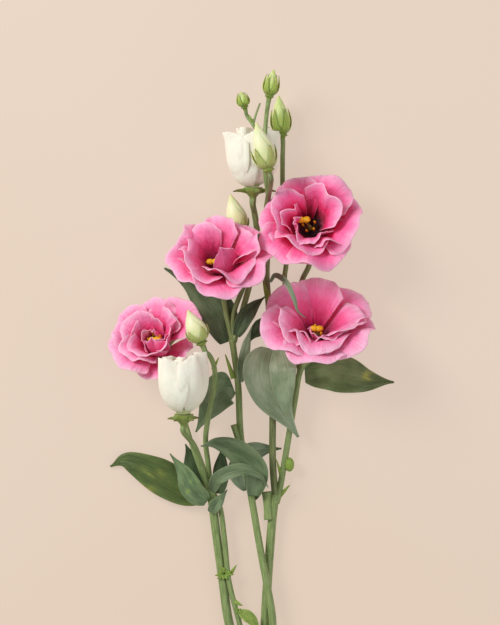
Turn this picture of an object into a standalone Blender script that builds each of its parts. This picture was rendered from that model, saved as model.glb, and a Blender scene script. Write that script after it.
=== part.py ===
"""Cut spray of lisianthus lying on a table: four double pink blooms, two half-open
white ones, closed buds, leaves and the branching stem that joins them.

X runs to the spray's right, Y along it from the cut end to the buds, Z up from the table.
Lengths in the tables are millimetres, angles are degrees.
"""
import math
from dataclasses import dataclass

import bmesh
import bpy
from mathutils import Matrix, Vector

MM = 0.001
GAP = 0.3               # what touching pieces keep between them
PETAL_THICK = 0.8
LEAF_THICK = 0.8
CENTRE = Vector((1.1, 2.1, 0.0))    # the middle of the spray's box, put at the origin

# Sizes of a bloom's middle.
CORE_RADIUS = 6.4       # receptacle that the petals grow from
CORE_HEIGHT = 7.0
CORE_SHOULDER = 4.0     # height of its widest place
ROOT_RADIUS = 1.6       # a steep petal's root; a flatter one starts further out and lower
ROOT_HEIGHT = 3.6
ROOT_SHIFT = 1.8
ROUNDING = 0.2          # how far the corners of a petal fall back from its tip
CORNER = 2.4            # how late along the rim they start to do so
RIM_WAVES = 1.6         # half waves along half of a rim
FULL_AT = 0.6           # share of the length where a petal fills its sector
TWIST = 2.8             # how far a petal's one edge stands out and the other in
ROOT_TWIST = 0.35       # share of the twist that is there at the root already
ROOT_SPAN = 0.62        # share of the sector that a petal fills at its root
PETAL_COLUMNS = 3       # cells across a petal
FLARED = 39             # a petal that opens further than this has one more row of cells
EDGE_CURL = 2.4         # how far a petal's edges bend back
STEPS = 24              # steps that a petal's midline is summed in
ALMOST = 0.9999         # the last place that still has a step after it
CUP_LENGTH = 8.0        # calyx cup under a bloom
CUP_MOUTH = 4.2
BUD_CUP_LENGTH = 3.0    # the same under a bud
SEPALS = 5
SEPAL_TIP = 0.4
WHITE_SEPALS = {"white_top": 14, "white_left": 9}   # length of their sepals
STYLE_RADIUS = 0.6
LOBE = (2.2, 1.7, 1.5, 1.0)         # the two lobes of the stigma, as a stretched ball
LOBE_STEP = 1.7

# Shape of a leaf's outline.
LEAF_FOOT = 0.05        # share of the width that is there at the base
LEAF_BELLY = 0.74       # below 1 the broadest place moves towards the base
LEAF_ROUND = 0.8
LEAF_POINT = 0.7
LEAF_WAVES = 2.2        # half waves of an edge from base to tip

# Shape of a bud.
BUD_BELLY = 0.62
BUD_ROUND = 0.9
FURROW = 0.03           # depth of the furrows, as a share of the radius
FURROW_TWIST = 5.0

CAP_WELD = 0.00001      # metres: joins a tube's caps to its wall
# Solver of a union and the distance in metres that joins the double points it leaves,
# in the order that they are tried.
UNION_TRIES = (("EXACT", 1e-7), ("EXACT", 1e-6), ("MANIFOLD", 1e-7), ("MANIFOLD", 1e-6))


@dataclass(frozen=True)
class Petal:
    """One petal: a sector of a funnel round the bloom's axis."""
    turn: float         # round the bloom's axis, 0 to the right and 90 up the spray
    length: float
    span: float         # half of the sector that it fills at its rim
    root: float         # angle to the axis at the root
    spread: float       # angle to the axis that it opens to
    lip: float = 12.0   # how much further its rim curls out
    wave: float = 1.5   # height of the rim's waves
    phase: float = 0.0
    twist: float = TWIST
    curl: float = EDGE_CURL


@dataclass(frozen=True)
class Bloom:
    """One flower head: its base, the direction it faces, and its petals."""
    name: str
    base: tuple
    axis: tuple
    petals: tuple
    style: float        # height of the stigma over the base
    lean: tuple         # how far the stigma leans to the right and up the spray
    sepal_turn: float
    stem_radius: float


@dataclass(frozen=True)
class Bud:
    """One closed bud: its bottom, the direction of its tip, and its size."""
    name: str
    bottom: tuple
    axis: tuple
    length: float
    radius: float
    sepal: float        # length of its sepals
    flare: float        # how far the sepal tips stand off
    stem_radius: float


@dataclass(frozen=True)
class Leaf:
    """One leaf: the points of its midrib from base to tip, width and folds."""
    name: str
    midrib: tuple
    width: float
    fold: float = 12.0  # angle that each half rises over the midrib
    lean: float = 0.0   # roll of the blade about its midrib at the base
    lean_tip: float = 0.0
    wave: float = 0.8
    rows: int = 6
    columns: int = 4


BLOOMS = (
    Bloom(
        "bloom_right", (43.5, 58, 13), (0.03, 0.7, 0.71),
        (
            Petal(270, 44, 50, 34, 60, 52, wave=1.6, phase=5.2),
            Petal(330, 46, 50, 34, 58, 54, wave=2.2, phase=2.2),
            Petal(30, 44, 50, 34, 52, 52, wave=2.4, phase=0.9),
            Petal(90, 42, 50, 30, 44, 30, wave=2.6, phase=0.4),
            Petal(150, 43, 50, 34, 48, 40, wave=2.4, phase=3.4),
            Petal(210, 45, 50, 34, 56, 52, wave=2.2, phase=4.1),
            Petal(205, 39, 54, 34, 34, 60, wave=1.4, phase=2.9),
            Petal(278, 41, 56, 34, 36, 66, wave=1.4, phase=1.1),
            Petal(345, 41, 56, 34, 33, 60, wave=1.2, phase=0.2),
            Petal(265, 24, 44, 30, 12, 44, wave=0.9, phase=0.5),
        ),
        15, (0, 0), 18, 1.9,
    ),
    Bloom(
        "bloom_top", (41, 131.5, 12), (-0.14, 0.4, 0.905),
        (
            Petal(350, 43, 50, 34, 56, 50, wave=2.6, phase=2.6),
            Petal(50, 41, 50, 34, 50, 52, wave=2.2, phase=1.3),
            Petal(110, 38, 50, 34, 46, 52, wave=2.2, phase=0.4),
            Petal(170, 37, 50, 34, 48, 54, wave=2.4, phase=0.9),
            Petal(230, 40, 50, 34, 56, 54, wave=2.0, phase=5.0),
            Petal(290, 43, 50, 34, 60, 50, wave=2.6, phase=3.5),
            Petal(30, 39, 64, 44, 12, 50, wave=1.6, phase=2.0),
            Petal(152, 38, 56, 46, 10, 56, wave=2.0, phase=1.1),
            Petal(256, 38, 56, 50, 16, 76, wave=2.4, phase=2.9),
            Petal(322, 36, 40, 44, 34, 60, wave=2.4, phase=3.6),
            Petal(200, 29, 40, 60, -20, 20, wave=1.6, phase=0.6),
        ),
        18, (-3, 2), 40, 1.8,
    ),
    Bloom(
        "bloom_middle", (-19, 103.5, 15), (-0.04, 0.66, 0.75),
        (
            Petal(270, 41, 50, 34, 58, 50, wave=1.8, phase=0.7),
            Petal(330, 42, 50, 34, 54, 52, wave=2.2, phase=1.9),
            Petal(30, 39, 50, 34, 42, 52, wave=2.6, phase=3.3),
            Petal(90, 38, 50, 26, 30, 44, wave=2.6, phase=0.4),
            Petal(150, 38, 50, 34, 42, 50, wave=2.6, phase=2.2),
            Petal(210, 41, 50, 34, 55, 50, wave=2.4, phase=5.1),
            Petal(20, 36, 58, 42, 14, 60, wave=2.0, phase=1.5),
            Petal(140, 36, 56, 42, 14, 60, wave=2.0, phase=4.2),
            Petal(222, 40, 54, 42, 27, 66, wave=1.4, phase=2.9),
            Petal(292, 40, 56, 42, 27, 66, wave=1.4, phase=3.8),
            Petal(296, 30, 62, 76, -30, 0, wave=0.6, phase=4.4),
        ),
        14, (-5, 0), 20, 1.8,
    ),
    Bloom(
        "bloom_left", (-60, 54, 9), (-0.22, 0.56, 0.8),
        (
            Petal(270, 25, 50, 60, 78, 24, phase=0.8),
            Petal(330, 23, 44, 60, 80, 12, phase=2.0),
            Petal(30, 38, 50, 34, 58, 40, phase=1.4),
            Petal(90, 33, 50, 34, 50, 46, phase=3.1),
            Petal(150, 34, 50, 34, 54, 46, phase=4.4),
            Petal(210, 34, 50, 34, 64, 46, phase=5.3),
            Petal(55, 29, 58, 42, 24, 56, phase=2.7),
            Petal(145, 29, 58, 42, 24, 56, phase=0.2),
            Petal(226, 29, 50, 42, 32, 64, phase=4.8),
            Petal(268, 23, 60, 74, -26, 10, phase=1.7),
        ),
        13, (0, 0), 46, 1.7,
    ),
)

WHITE_BLOOMS = (
    Bloom(
        "white_top", (1.8, 162.5, 14.4), (0.0, 1.0, 0.03),
        (
            Petal(188, 42, 76, 84, -13, 22, wave=0.9, phase=0.6, twist=1.0, curl=0.0),
            Petal(308, 43, 76, 82, -13, 8, wave=1.0, phase=1.9, twist=1.0, curl=0.0),
            Petal(68, 41, 76, 82, -13, 12, wave=0.9, phase=3.0, twist=1.0, curl=0.0),
            Petal(240, 41, 58, 58, -12, 6, wave=0.6, phase=4.1, twist=1.0, curl=0.0),
            Petal(0, 41, 58, 58, -12, 6, wave=0.6, phase=5.2, twist=1.0, curl=0.0),
            Petal(120, 41, 58, 58, -12, 6, wave=0.6, phase=0.3, twist=1.0, curl=0.0),
        ),
        0, (0, 0), 0, 2.0,
    ),
    Bloom(
        "white_left", (-43.6, 12.8, 42.6), (-0.02, 1.0, 0.1),
        (
            Petal(212, 42, 74, 78, -16, 12, wave=1.6, phase=0.6, twist=1.0, curl=0.0),
            Petal(332, 46, 74, 76, -16, 4, wave=1.6, phase=1.9, twist=1.0, curl=0.0),
            Petal(92, 39, 74, 76, -16, 10, wave=1.2, phase=3.0, twist=1.0, curl=0.0),
            Petal(272, 40, 58, 56, -14, 6, wave=0.6, phase=4.1, twist=1.0, curl=0.0),
            Petal(32, 40, 58, 56, -14, 6, wave=0.6, phase=5.2, twist=1.0, curl=0.0),
            Petal(152, 39, 58, 56, -14, 6, wave=0.6, phase=0.3, twist=1.0, curl=0.0),
        ),
        0, (0, 0), 20, 1.9,
    ),
)

BUDS = (
    Bud("bud_summit", (12.8, 222.4, 26), (0.17, 1.0, 0.05), 17.6, 4.4, 14, 1.4, 1.4),
    Bud("bud_upper", (21.2, 197.5, 7.5), (-0.08, 1.0, 0.03), 26, 6.2, 17, 0.5, 1.6),
    Bud("bud_small", (-3.6, 215, 31), (-0.26, 1.0, 0.1), 10, 3.4, 9, 0.7, 1.1),
    Bud("bud_front", (12, 173, 44.6), (-0.26, 1.0, 0.0), 32, 7.2, 15, 1.0, 1.6),
    Bud("bud_behind", (-6.3, 132, 9.2), (-0.26, 1.0, 0.0), 27, 7.1, 9, 0.3, 1.7),
    Bud("bud_left", (-31.8, 60, 42.5), (-0.42, 1.0, 0.1), 23, 7.0, 10, 0.4, 1.7),
    Bud("bud_far_right", (63, 149, 14), (0.05, 1.0, 0.05), 13, 3.6, 11, 0.8, 1.2),
)

LEAVES = (
    Leaf("leaf_long_left", ((-14.5, 60, 2.9), (-22, 80, 2.2), (-36, 97, 1.5), (-57, 109, 1)),
         25, fold=3),
    Leaf("leaf_dark_middle", ((-9, 64, 9), (-3.5, 76, 10.4), (3, 84, 10.6), (10, 90, 9.8)),
         11, fold=16, wave=1.2),
    Leaf("leaf_narrow", ((-6.2, 33.5, 8.8), (-4.5, 46, 11), (-2, 60, 12.5), (1, 70, 12)), 7.5,
         rows=6, columns=2),
    Leaf("leaf_hanging", ((15, 55, 8.1), (13, 40, 15), (18, 20, 15), (32, -3, 11)), 36,
         fold=14),
    Leaf("leaf_right", ((36.5, 38.5, 2.2), (56, 39.5, 1.8), (77, 34.5, 0.4), (96, 33, -1)), 25,
         fold=2, wave=0.3),
    Leaf("leaf_far_left", ((-30.6, -43, 3.3), (-46, -37, 3.6), (-64, -27, 5.5),
                           (-82, -19, 4), (-93, -23, 1)), 24, fold=6),
    Leaf("leaf_yellowed", ((-28.8, -46, 8.8), (-38, -38, 14), (-44, -26, 16), (-53, -14, 14)),
         15, rows=6),
    Leaf("leaf_dark_left", ((-30.5, -37, 2.2), (-36, -28, 1.4), (-39, -18, 1.2),
                            (-43, -8, 1.2)), 16, fold=3, rows=5, columns=2, wave=0.2),
    Leaf("leaf_dark_inner", ((-20.5, -41, 4.2), (-19.6, -30, 3.9), (-19, -19, 3.9),
                             (-18, -8, 3.9)), 11, fold=3, rows=5, columns=2, wave=0.2),
    Leaf("leaf_drooping", ((-11.6, 31, 5.5), (-19, 28, 5.5), (-27, 16, 4.6), (-36, 0, 3.4)), 24,
         fold=8, rows=6),
    Leaf("leaf_arching", ((2.5, -42, 11.4), (4, -25, 17), (-9, -12, 18.5), (-22, -7, 18),
                          (-32.5, -9, 15)), 17),
    Leaf("leaf_pale_behind", ((0, -38, 4.5), (-4, -24, 1.6), (4, -13, 1.2), (21, -11, 1.2)), 21,
         fold=3, wave=0.2),
    Leaf("leaf_small_arch", ((-25, -39, 10.2), (-21, -30, 18), (-7, -24, 22), (6, -28, 21),
                             (12, -36, 18)), 9, columns=2),
    Leaf("leaf_clasping", ((-26.5, -53, 9.4), (-21, -46, 11), (-15, -38, 11)), 8, rows=4,
         columns=2),
    Leaf("leaf_curled", ((13.6, 100, 8.6), (17, 104, 24), (24, 99, 38), (29, 88, 43),
                         (31, 81, 43), (36, 76, 41)), 3.6, rows=8, columns=2, wave=0.3),
    Leaf("leaf_dark_small", ((1.5, -45, 4.6), (4, -39, 2.2), (6.5, -32, 1.4), (7.5, -26, 1.2)), 8,
         fold=3, rows=4, columns=2, wave=0.2),
    Leaf("leaf_behind_right", ((11, 75, 2.8), (7, 70, 2.0), (2.5, 65, 1.4), (0, 60, 1.2)), 10,
         fold=3, rows=4, columns=2, wave=0.2),
    Leaf("leaf_at_crossing", ((-6.6, -119, 9.1), (1, -124, 11.5), (8, -136, 12.5)), 8, rows=4,
         columns=2),
)


@dataclass(frozen=True)
class Stem:
    """One length of stem: the points that it runs through, its radius at both ends, and
    the bloom or bud at its end."""
    points: tuple
    start: float
    end: float
    head: str = ""


STEMS = (
    # main stem and its cut end, then the four limbs that leave it
    Stem(((6, -236, 3.0), (6, -205, 3.0), (5, -170, 3.4)), 3.2, 3.4),
    Stem(((5, -180, 3.6), (-5, -158, 4), (-14, -127, 4.5), (-18, -100, 5), (-22, -71, 5.5),
          (-25, -48, 6), (-27, -36, 6.5)), 3.2, 2.8),
    Stem(((4, -174, 4), (-7, -127, 7), (-14, -99, 8), (-17, -71, 7.5), (-20, -50, 7),
          (-26, -38, 7)), 1.8, 1.8),
    Stem(((6, -180, 3.6), (12, -150, 7.5), (15, -127, 9.5), (11, -100, 10.5), (7, -79, 10),
          (1, -44, 8), (-6, -5, 6.5), (-8, 32, 6), (-12, 62, 6)), 2.7, 2.1),
    Stem(((6, -180, 3.6), (9, -150, 4), (10, -127, 4), (11, -108, 4), (13, -79, 4.5),
          (15, -55, 5), (17, -41, 5.5)), 3.3, 2.8),
    # cut stubs
    Stem(((12.5, -58, 6), (11, -39.5, 6.5)), 2.9, 2.9),
    Stem(((-6, -12, 7.5), (-11, 5, 9.5)), 1.8, 1.8),
    # left node: to the lower white bloom, the left bloom and the left bud
    Stem(((-27, -40, 7), (-31, -24, 15), (-37, -8, 27)), 1.9, 1.8, "white_left"),
    Stem(((-27, -40, 6), (-33, -24, 6.5), (-38, -10, 6), (-44, 9, 5), (-50, 28, 3.5),
          (-55, 42, 2.6)), 1.7, 1.6, "bloom_left"),
    Stem(((-26, -38, 7), (-28, -20, 8), (-29.5, -4, 10), (-27, 14, 12), (-23.5, 31, 16),
          (-23.6, 43, 25), (-26.2, 50.5, 35)), 1.8, 1.6, "bud_left"),
    # middle node: to the middle bloom, the bud behind it and the upper white bloom
    Stem(((-11.5, 60, 6), (-15, 75, 6), (-17.5, 88, 5.5)), 1.8, 1.7, "bloom_middle"),
    Stem(((-12, 60, 6), (-10.5, 80, 6), (-4.5, 97, 5), (-2.5, 112, 5)), 1.7, 1.6, "bud_behind"),
    Stem(((-11, 60, 6), (-3, 88, 6), (3, 112, 5), (4.6, 132, 4.4), (3, 145, 8)), 2.0, 2.0,
         "white_top"),
    # right node, left limb: to the front bud, the summit and the small bud
    Stem(((17, -45, 5.5), (15, -18, 5.5), (15, 30, 5.5), (13, 75, 5.5), (11, 104, 7),
          (12, 130, 9), (11, 147, 13), (12, 156, 23), (13.2, 162, 36)), 2.4, 1.6,
         "bud_front"),
    Stem(((12.2, 156.6, 24), (10.5, 166, 31), (9.5, 178, 33.4), (9.5, 192, 33.4),
          (10.5, 206, 31)), 1.5, 1.4, "bud_summit"),
    Stem(((9.5, 188, 33.4), (5.2, 197, 34.4), (1.8, 203, 33.4)), 1.1, 1.1, "bud_small"),
    Stem(((1.8, 203, 33.4), (4, 210, 33), (6.6, 217, 33)), 0.9, 0.5),
    # right node, right limb: to the right bloom, the top bloom and two buds
    Stem(((17, -47, 5.5), (19, -41, 5.5), (22, -25, 5.5), (26, -1, 5), (30, 23, 4.5),
          (32.5, 38, 4.6), (36, 45, 5.8)), 2.2, 1.9, "bloom_right"),
    Stem(((33, 40, 4), (34, 56, 2.6), (33, 75, 2.4), (34, 98, 2.4), (39, 110, 2.4),
          (43, 122, 2.4)), 1.8, 1.8, "bloom_top"),
    Stem(((33, 42, 3.4), (28, 60, 2.6), (25, 84, 3), (23, 102, 3.6), (24, 114, 4),
          (22, 140, 4), (21.6, 164, 4), (21.6, 180, 5.5)), 1.7, 1.6, "bud_upper"),
    Stem(((41.5, 117, 2.8), (52, 128, 4), (60, 138, 8)), 1.2, 1.2, "bud_far_right"),
)

SPURS = (
    # small bracts at the nodes, each a short spike that leaves the stem
    ((-15, -92, 8), (-21, -89, 9), 1.3),
    ((-15, -95, 8), (-22, -97, 9), 1.2),
    ((-13, -94, 8), (-9, -88, 10), 1.2),
    ((-11, -112, 7.6), (-5, -115, 10), 1.6),
    ((13, 86, 6), (8.6, 101, 9), 2.2),
    ((20, -42, 5.5), (26.5, -35, 7), 1.3),
    ((21, -30, 5.5), (17.5, -18, 8), 1.1),
    ((-11, 36, 7.5), (-16.5, 52, 11), 1.5),
    ((-24.4, 42, 25), (-20.5, 50, 26), 1.1),
    ((2, 204, 33.4), (-1, 209.6, 34), 0.9),
)
KNOB = ((26.2, -21.5, 6.8), (3.2, 4.7, 3.0))    # oval green gall on the right limb


def vector(point):
    """A table's point in metres, measured from the middle of the spray."""
    return (Vector(point) - CENTRE) * MM


def material(name, colour, roughness):
    """A plain Principled material."""
    made = bpy.data.materials.new(name)
    made.use_nodes = True
    shader = made.node_tree.nodes["Principled BSDF"]
    shader.inputs["Base Color"].default_value = (*colour, 1.0)
    shader.inputs["Roughness"].default_value = roughness
    return made


def add_object(name, mesh, collection):
    """Link a mesh to a collection as an object of its own."""
    made = bpy.data.objects.new(name, mesh)
    collection.objects.link(made)
    return made


def grid_mesh(name, rows, columns, place):
    """A grid moved point by point to place(along, across), split into triangles."""
    mesh = bpy.data.meshes.new(name)
    shape = bmesh.new()
    bmesh.ops.create_grid(shape, x_segments=columns, y_segments=rows, size=1.0)
    for vertex in shape.verts:
        vertex.co = place((vertex.co.y + 1) / 2, vertex.co.x)
    bmesh.ops.triangulate(shape, faces=shape.faces[:])
    shape.to_mesh(mesh)
    shape.free()
    return mesh


def blade(name, rows, columns, thick, place, collection):
    """A thin blade: the grid thickened by the same amount to both sides."""
    made = add_object(name, grid_mesh(name, rows, columns, place), collection)
    shell = made.modifiers.new("Thickness", "SOLIDIFY")
    shell.thickness = thick * MM
    shell.offset = 0.0
    return made


def on_table(point, thick):
    """Lay what would reach below the table flat on it."""
    return Vector((point.x, point.y, max(point.z, thick * MM / 2)))


def frame_of(axis):
    """Right, up-the-spray and outward directions of a flower that faces axis."""
    out = Vector(axis).normalized()
    right = (Vector((1, 0, 0)) - out * out.x).normalized()
    return right, out.cross(right), out


def midline(petal):
    """Places along a petal's midline: distance from the axis, height and angle to the axis.

    Near the root the angle falls off with the square of what is left of the length; near
    the rim the lip adds to it with the fourth power of the length.
    """
    places = []
    far = ROOT_RADIUS + ROOT_SHIFT * math.sin(math.radians(petal.root))
    high = ROOT_HEIGHT - ROOT_SHIFT * math.sin(math.radians(petal.root))
    for step in range(STEPS + 1):
        share = step / STEPS
        angle = math.radians(petal.spread + (petal.root - petal.spread) * (1 - share) ** 2
                             + petal.lip * share ** 4)
        places.append((far, high, angle))
        far += math.sin(angle) * petal.length / STEPS
        high += math.cos(angle) * petal.length / STEPS
    return places


def petal_surface(petal, bloom):
    """The function that places a petal's middle surface.

    The midline is swung round the bloom's axis over the petal's sector, which is narrower
    at the root. One edge stands out and the other in, as in the bud, and the rim is waved.
    """
    right, up, out = frame_of(bloom.axis)
    places = midline(petal)
    turn = math.radians(petal.turn)
    span = math.radians(petal.span)

    def place(along, across):
        reach = along * (1 - ROUNDING * abs(across) ** CORNER)
        spot = min(reach, ALMOST) * STEPS
        low = places[int(spot)]
        top = places[int(spot) + 1]
        far, high, angle = (a + (b - a) * (spot % 1) for a, b in zip(low, top))
        fill = math.sin(math.pi / 2 * min(reach / FULL_AT, 1))
        swing = turn + across * span * (ROOT_SPAN + (1 - ROOT_SPAN) * fill)
        lift = petal.wave * reach ** 3 * math.sin(RIM_WAVES * math.pi * across + petal.phase)
        lift -= petal.curl * reach ** 2 * across ** 4
        lift -= petal.twist * (ROOT_TWIST + (1 - ROOT_TWIST) * reach) * across
        far -= math.cos(angle) * lift
        high += math.sin(angle) * lift
        local = (right * math.cos(swing) + up * math.sin(swing)) * far + out * high
        return on_table(vector(bloom.base) + local * MM, PETAL_THICK)

    return place


def turned(name, profile, sides, collection):
    """A turned solid: a profile of (radius, height) round Z, from the top down."""
    mesh = bpy.data.meshes.new(name)
    shape = bmesh.new()
    points = [shape.verts.new((radius * MM, 0, height * MM)) for radius, height in profile]
    for first, second in zip(points, points[1:]):
        shape.edges.new((first, second))
    shape.to_mesh(mesh)
    shape.free()
    made = add_object(name, mesh, collection)
    screw = made.modifiers.new("Turn", "SCREW")
    screw.steps = sides
    screw.render_steps = sides
    screw.use_merge_vertices = True
    screw.merge_threshold = 0.00001
    return made


def aim(thing, base, axis):
    """Stand an object on base, with its Z along axis."""
    right, up, out = frame_of(axis)
    turn = Matrix((right, up, out)).transposed().to_4x4()
    thing.matrix_world = Matrix.Translation(base) @ turn


def tube(name, points, start, end, sides_level, collection):
    """A tapering tube through points, as a mesh with welded caps."""
    curve = bpy.data.curves.new(name, "CURVE")
    curve.dimensions = "3D"
    curve.bevel_depth = MM
    curve.bevel_resolution = sides_level
    curve.use_fill_caps = True
    line = curve.splines.new("POLY")
    line.points.add(len(points) - 1)
    for index, point in enumerate(points):
        share = index / (len(points) - 1)
        line.points[index].co = (*vector(point), 1.0)
        line.points[index].radius = start + (end - start) * share
    source = bpy.data.objects.new(name, curve)
    collection.objects.link(source)
    made = add_object(name, as_mesh(source, CAP_WELD), collection)
    bpy.data.objects.remove(source)
    for vertex in made.data.vertices:
        vertex.co.z = max(vertex.co.z, 0.0)
    return made


def as_mesh(source, weld):
    """The evaluated mesh of an object, with points nearer than weld made one."""
    bpy.context.view_layer.update()
    evaluated = source.evaluated_get(bpy.context.evaluated_depsgraph_get())
    mesh = bpy.data.meshes.new_from_object(evaluated)
    shape = bmesh.new()
    shape.from_mesh(mesh)
    bmesh.ops.remove_doubles(shape, verts=shape.verts[:], dist=weld)
    shape.to_mesh(mesh)
    shape.free()
    return mesh


def smooth(points, spans):
    """Points along a smooth curve that passes through the given ones."""
    places = [Vector(point) for point in points]
    first = places[0] * 2 - places[1]
    last = places[-1] * 2 - places[-2]
    places = [first, *places, last]
    curve = []
    for index in range(1, len(places) - 2):
        before, here, there, after = places[index - 1:index + 3]
        for step in range(spans):
            t = step / spans
            curve.append(0.5 * (
                2 * here + (there - before) * t
                + (2 * before - 5 * here + 4 * there - after) * t * t
                + (3 * here - before - 3 * there + after) * t ** 3
            ))
    curve.append(places[-2])
    return curve


def fuse(name, base, others, collection, finish):
    """Join the others to base in one closed body and keep it under the node's name."""
    gathered = bpy.data.collections.new(name + "_pieces")
    bpy.context.scene.collection.children.link(gathered)
    for other in others:
        for holder in list(other.users_collection):
            holder.objects.unlink(other)
        gathered.objects.link(other)
    union = base.modifiers.new("Union", "BOOLEAN")
    union.operation = "UNION"
    union.operand_type = "COLLECTION"
    union.collection = gathered
    for solver, weld in UNION_TRIES:
        union.solver = solver
        mesh = as_mesh(base, weld)
        if is_closed(mesh):
            break
    made = add_object(name, mesh, collection)
    made.matrix_world = base.matrix_world.copy()
    for piece in (base, *others):
        bpy.data.objects.remove(piece)
    bpy.data.collections.remove(gathered)
    keep_largest_body(made.data)
    paint(made, finish)
    return made


def is_closed(mesh):
    """Whether every edge of a mesh has exactly two faces."""
    shape = bmesh.new()
    shape.from_mesh(mesh)
    closed = all(edge.is_manifold for edge in shape.edges)
    shape.free()
    return closed


def keep_largest_body(mesh):
    """Drop the loose scraps that a union can leave."""
    shape = bmesh.new()
    shape.from_mesh(mesh)
    unseen = set(shape.verts)
    bodies = []
    while unseen:
        body = set()
        front = [unseen.pop()]
        while front:
            vertex = front.pop()
            body.add(vertex)
            for edge in vertex.link_edges:
                other = edge.other_vert(vertex)
                if other in unseen:
                    unseen.discard(other)
                    front.append(other)
        bodies.append(body)
    bodies.sort(key=len)
    scraps = [vertex for body in bodies[:-1] for vertex in body]
    bmesh.ops.delete(shape, geom=scraps, context="VERTS")
    shape.to_mesh(mesh)
    shape.free()


def paint(thing, finish):
    """Give an object its material and smooth shading with sharp rims."""
    thing.data.materials.clear()
    thing.data.materials.append(finish)
    thing.data.shade_smooth()
    thing.data.set_sharp_from_angle(angle=math.radians(50))


def corolla(bloom, rows, collection, finish):
    """A bloom's petals, joined at the receptacle that they grow from."""
    profile = ((0.0, CORE_HEIGHT), (CORE_RADIUS * 0.8, CORE_HEIGHT), (CORE_RADIUS, CORE_SHOULDER),
               (CUP_MOUTH, GAP), (0.0, GAP))
    core = turned(bloom.name + "_core", profile, 8, collection)
    aim(core, vector(bloom.base), bloom.axis)
    petals = []
    for index, petal in enumerate(bloom.petals):
        place = petal_surface(petal, bloom)
        fine = petal.spread > FLARED
        petals.append(blade(f"{bloom.name}_{index}", rows if fine else rows - 1,
                            PETAL_COLUMNS, PETAL_THICK, place, collection))
    return fuse(bloom.name + "_petals", core, petals, collection, finish)


def sepals(name, base, axis, turn, route, thick, collection):
    """Five awl-shaped sepals; route lists the distance from the axis and the height."""
    right, up, out = frame_of(axis)
    made = []
    for index in range(SEPALS):
        swing = turn + 2 * math.pi * index / SEPALS
        away = right * math.cos(swing) + up * math.sin(swing)
        points = [Vector(base) + away * far + out * high for far, high in route]
        for point in points:
            point.z = max(point.z, SEPAL_TIP * 2)
        made.append(tube(f"{name}_{index}", points, thick, SEPAL_TIP, 0, collection))
    return made


def open_calyx(bloom, opening, length, mouth, collection, finish):
    """The cup under a bloom, with its five spreading sepals."""
    profile = ((0.0, 0.0), (mouth, 0.0), (mouth * 0.94, -2.4), (bloom.stem_radius + 0.5, -6.4),
               (bloom.stem_radius + 0.1, -CUP_LENGTH), (0.0, -CUP_LENGTH))
    cup = turned(bloom.name + "_cup", profile, 8, collection)
    aim(cup, vector(bloom.base), bloom.axis)
    slope = math.radians(opening)
    route = [(2.0 + length * share * math.sin(slope * (0.9 + 0.2 * share)),
              -3.4 + length * share * math.cos(slope * (0.9 + 0.2 * share)))
             for share in (0.0, 0.5, 1.0)]
    others = sepals(bloom.name + "_sepal", bloom.base, bloom.axis,
                    math.radians(bloom.sepal_turn), route, 1.5, collection)
    return fuse(bloom.name + "_calyx", cup, others, collection, finish)


def pistil(bloom, collection, finish):
    """Ovary, style and the two lobes of the stigma, as one body."""
    right, up, out = frame_of(bloom.axis)
    foot = Vector(bloom.base)
    seat = CORE_HEIGHT + GAP
    lean = right * bloom.lean[0] + up * bloom.lean[1]
    profile = ((0.0, seat + 6.5), (0.9, seat + 5.6), (1.7, seat + 3), (1.5, seat + 0.6),
               (1.2, seat), (0.0, seat))
    ovary = turned(bloom.name + "_ovary", profile, 6, collection)
    aim(ovary, vector(foot), bloom.axis)
    low = foot + out * (seat + 4)
    top = foot + out * bloom.style + lean
    style = tube(bloom.name + "_style", (low, low.lerp(top, 0.5) - lean * 0.1, top),
                 STYLE_RADIUS, STYLE_RADIUS, 1, collection)
    turn = Matrix((right, up, out)).transposed().to_4x4()
    lobes = []
    for sign in (-1, 1):
        name = f"{bloom.name}_lobe_{sign}"
        place = Matrix.Translation(vector(top + right * LOBE_STEP * sign + out * STYLE_RADIUS))
        lobes.append(ball(name, 6, 4, place @ turn @ Matrix.Diagonal(LOBE), collection))
    return fuse(bloom.name + "_pistil", ovary, [style, *lobes], collection, finish)


def ball(name, segments, rings, matrix, collection):
    """A ball of radius one millimetre, turned and stretched by a matrix."""
    mesh = bpy.data.meshes.new(name)
    shape = bmesh.new()
    bmesh.ops.create_uvsphere(shape, u_segments=segments, v_segments=rings, radius=MM,
                              matrix=matrix)
    shape.to_mesh(mesh)
    shape.free()
    return add_object(name, mesh, collection)


def bud_radius(bud, share):
    """The radius of a bud a given share of the way from its bottom to its tip."""
    belly = math.sin(math.pi * min(max(share, 0.0), 1.0) ** BUD_BELLY)
    return bud.radius * belly ** BUD_ROUND


def bud_body(bud, collection, finish):
    """A closed bud: a pointed drop with the twisted furrows of its rolled petals."""
    mesh = bpy.data.meshes.new(bud.name)
    shape = bmesh.new()
    bmesh.ops.create_uvsphere(shape, u_segments=8, v_segments=7, radius=1.0)
    for vertex in shape.verts:
        share = math.acos(max(-1.0, min(1.0, -vertex.co.z))) / math.pi
        turn = math.atan2(vertex.co.y, vertex.co.x)
        furrow = 1 - FURROW + FURROW * math.cos(3 * turn + FURROW_TWIST * share)
        radius = bud_radius(bud, share) * furrow
        vertex.co = Vector((radius * math.cos(turn), radius * math.sin(turn),
                            GAP + bud.length * share)) * MM
    shape.to_mesh(mesh)
    shape.free()
    made = add_object(bud.name, mesh, collection)
    aim(made, vector(bud.bottom), bud.axis)
    paint(made, finish)
    return made


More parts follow.
